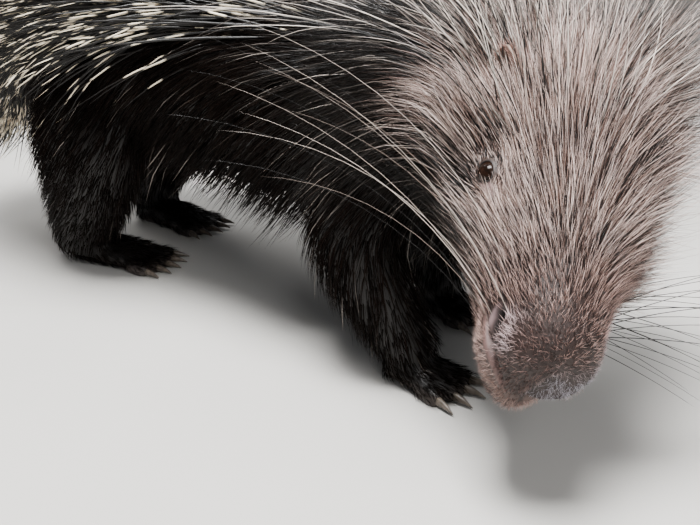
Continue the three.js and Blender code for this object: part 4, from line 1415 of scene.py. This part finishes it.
def add_crest(skin, material):
    rise = np.sin(skin.angle)
    neck = skin.on("neck") * ramp(rise, 0.6, 0.9) * ramp(skin.s, 0.2, 0.4)
    head = skin.on("head") * ramp(rise, 0.45, 0.8) * ramp(skin.s, 0.42, 0.28)
    count, rings = CREST_HAIRS, 8
    roots = Roots(skin, count, neck + 1.3 * head)
    on_neck = roots.value(neck) > roots.value(head)
    length = about(np.where(on_neck, CREST_LENGTHS["neck"], CREST_LENGTHS["head"]), 0.3) * MM
    lift = radians(1) * about(np.full(count, 36.0), 0.25)
    paths = kept_inside(grow(skin, roots, length, lift, rings, sway=0.2, droop=0.35, hug=0.09, clear=3))
    radii = taper(rings, about(np.full(count, 0.8), 0.2), 0.3)
    pale = blend(GREY, SILVER * 1.2, rng.random(count))
    along = np.linspace(0, 1, rings + 1)[None]
    start = rng.uniform(0.05, 0.6, (count, 1))
    tints = blend(BLACK, pale[:, None], ramp(along, start, start + 0.15))
    return strand_pieces("crest", paths, radii, tints, roots.uv, 4, "body_coat", material)


def whisker_path(root, start, end, length, rings):
    """An arc from the heading start to the heading end."""
    angle = np.arccos(np.clip(dot(start, end), -1, 1)) * rng.uniform(0.85, 1.15)
    spread = unit(end - start * dot(end, start))
    share = np.linspace(0, 1, rings + 1)[:, None]
    heading = start * np.cos(angle * share) + spread * np.sin(angle * share)
    steps = heading[:-1] * length * MM / rings
    path = root - start * 4 * MM + np.vstack([np.zeros(3), np.cumsum(steps, 0)])
    path[:, 2] = np.maximum(path[:, 2], WHISKER_FLOOR)
    return path


def add_whiskers(skin, material):
    """Whiskers on the lip pads, the right ones swept back and the left ones out to the side, and over the
    eyes."""
    rings = 10
    paths, shades, thick = [], [], []
    (first, last), (high, low) = WHISKER_ALONG, WHISKER_ROUND
    for side, in_row, radius, highest, lowest in WHISKER_FANS:
        for row in range(WHISKER_ROWS):
            for k in range(in_row):
                share = (row + 0.6 * rng.uniform(-1, 1)) / (WHISKER_ROWS - 1)
                angle = high + (low - high) * row / (WHISKER_ROWS - 1)
                s = first + (last - first) * (k + 0.3 * rng.uniform(-1, 1)) / (in_row - 1)
                root = head_loft.point(np.array(s), np.array(angle if side > 0 else pi - angle))
                headings = []
                for upper, lower in zip(highest[:2], lowest[:2]):
                    x, y, z = np.array(upper) * (1 - share) + np.array(lower) * share
                    headings.append(head_direction(x, side * y, z))
                full = highest[2] + (lowest[2] - highest[2]) * share
                length = about(full, 0.14) * (1 - 0.25 * rng.random() ** 2)
                paths.append(whisker_path(root, *headings, length, rings))
                pale = side < 0 and rng.random() < 0.75
                shades.append(blend(GREY * 4, SILVER * 1.25, rng.random()) if pale else BLACK)
                thick.append(radius)
        for k in range(BROW_WHISKERS):
            root = head_place((-8 + 3 * k, EYE_AT[1] - 4 + k, EYE_AT[2] + 14), side)
            root = skin.points[skin.nearest([root])[0]]
            start = head_direction(-0.55 - 0.1 * k, side * 0.8, 0.45)
            end = head_direction(-0.9, side * 0.5, 0.1)
            paths.append(whisker_path(root, start, end, about(BROW_LENGTH, 0.2), rings))
            shades.append(BLACK)
            thick.append(BROW_RADIUS)
    paths = kept_inside(np.array(paths))
    radii = about(thick, 0.2)[:, None] * np.linspace(1, 0.35, rings)[None] * MM
    tints = np.broadcast_to(np.array(shades)[:, None], (len(paths), rings + 1, 3))
    uv = skin.vertex_uv[skin.nearest(paths[:, 0])]
    return strand_pieces("whiskers", paths, radii, tints, uv, 4, "head_coat", material)


def add_rattle(skin, material):
    """Short blunt white quills at the end of the tail."""
    count, rings = RATTLE_QUILLS, 7
    roots = Roots(skin, count, skin.on("tail") * ramp(skin.s, 0.6, 0.85))
    length = about(np.full(count, RATTLE_LENGTH), 0.2) * MM
    lift = radians(1) * about(np.full(count, 14.0), 0.4)
    paths = grow(skin, roots, length, lift, rings, sway=0.15)
    shape = np.interp(np.linspace(0, 1, rings), (0, 0.3, 0.9, 1), (0.5, 1, 1, 0.7))
    radii = about(np.full(count, RATTLE_RADIUS), 0.15)[:, None] * shape[None] * MM
    tints = np.broadcast_to(CREAM * 0.9, (count, rings + 1, 3))
    return strand_pieces("rattle", paths, radii, tints, roots.uv, 8, "body_coat", material)


# Stage, light and camera
def add_stage():
    corners = [(x * FLOOR_HALF, y * FLOOR_HALF, 0) for x, y in ((-1, -1), (1, -1), (1, 1), (-1, 1))]
    floor = mesh_object("floor", corners, [(0, 1, 2, 3)])
    floor.data.materials.append(noisy_material("floor"))
    world = bpy.data.worlds.new("world")
    world.use_nodes = True
    background = world.node_tree.nodes["Background"]
    background.inputs["Color"].default_value = WORLD_COLOUR
    background.inputs["Strength"].default_value = WORLD_STRENGTH
    bpy.context.scene.world = world
    for name, at, size, power in LIGHTS:
        light = bpy.data.lights.new(name, "AREA")
        light.size = size
        light.energy = power
        lamp = in_scene(name, light)
        lamp.location = at
        lamp.rotation_euler = (Vector(LIGHTS_AIM) - lamp.location).to_track_quat("-Z", "Y").to_euler()


def add_camera():
    data = bpy.data.cameras.new("camera")
    data.lens = CAMERA_LENS
    data.sensor_width = SENSOR_WIDTH
    camera = in_scene("camera", data)
    camera.location = place(CAMERA_AT)
    camera.rotation_euler = (radians(90 - CAMERA_PITCH), 0, radians(CAMERA_YAW))
    bpy.context.scene.camera = camera


def main():
    add_camera()
    add_stage()
    piece = make_skin()
    unwrap(piece)
    skin = Skin(piece)
    settle_coat(skin)
    paint_skin(skin, piece)
    dressed(piece, noisy_material("skin"), "body_coat", "torso", "neck", "head", "tail", *LEGS)
    add_eyes()
    add_ears()
    add_claws()
    furs = {name: noisy_material(name) for name in ("fur", "neck_fur", "dark_fur", "whisker_horn")}
    x = to_head(skin.points)[:, 0]
    places = {
        "muzzle": skin.on("head") * ramp(x, 30, 50),
        "head": skin.on("head") * ramp(x, 60, 35),
        "neck": skin.on("neck"),
        "trunk": skin.on("trunk", "tail"),
        "legs": skin.on(*LEGS),
        "feet": skin.on("foot", "toe"),
    }
    total = 0
    for name, where, count, rings, every, strength, slot, fur in FUR_LAYERS:
        total += add_fur(skin, name, places[where], count, rings, every, strength, slot, furs[fur])
    total += add_quills(skin, quill_material())
    total += add_crest(skin, furs["whisker_horn"])
    add_ear_fuzz(skin, furs["fur"])
    total += add_whiskers(skin, furs["whisker_horn"])
    total += add_rattle(skin, furs["whisker_horn"])
    print("coat triangles", total, "skin faces", len(piece.data.polygons))


main()
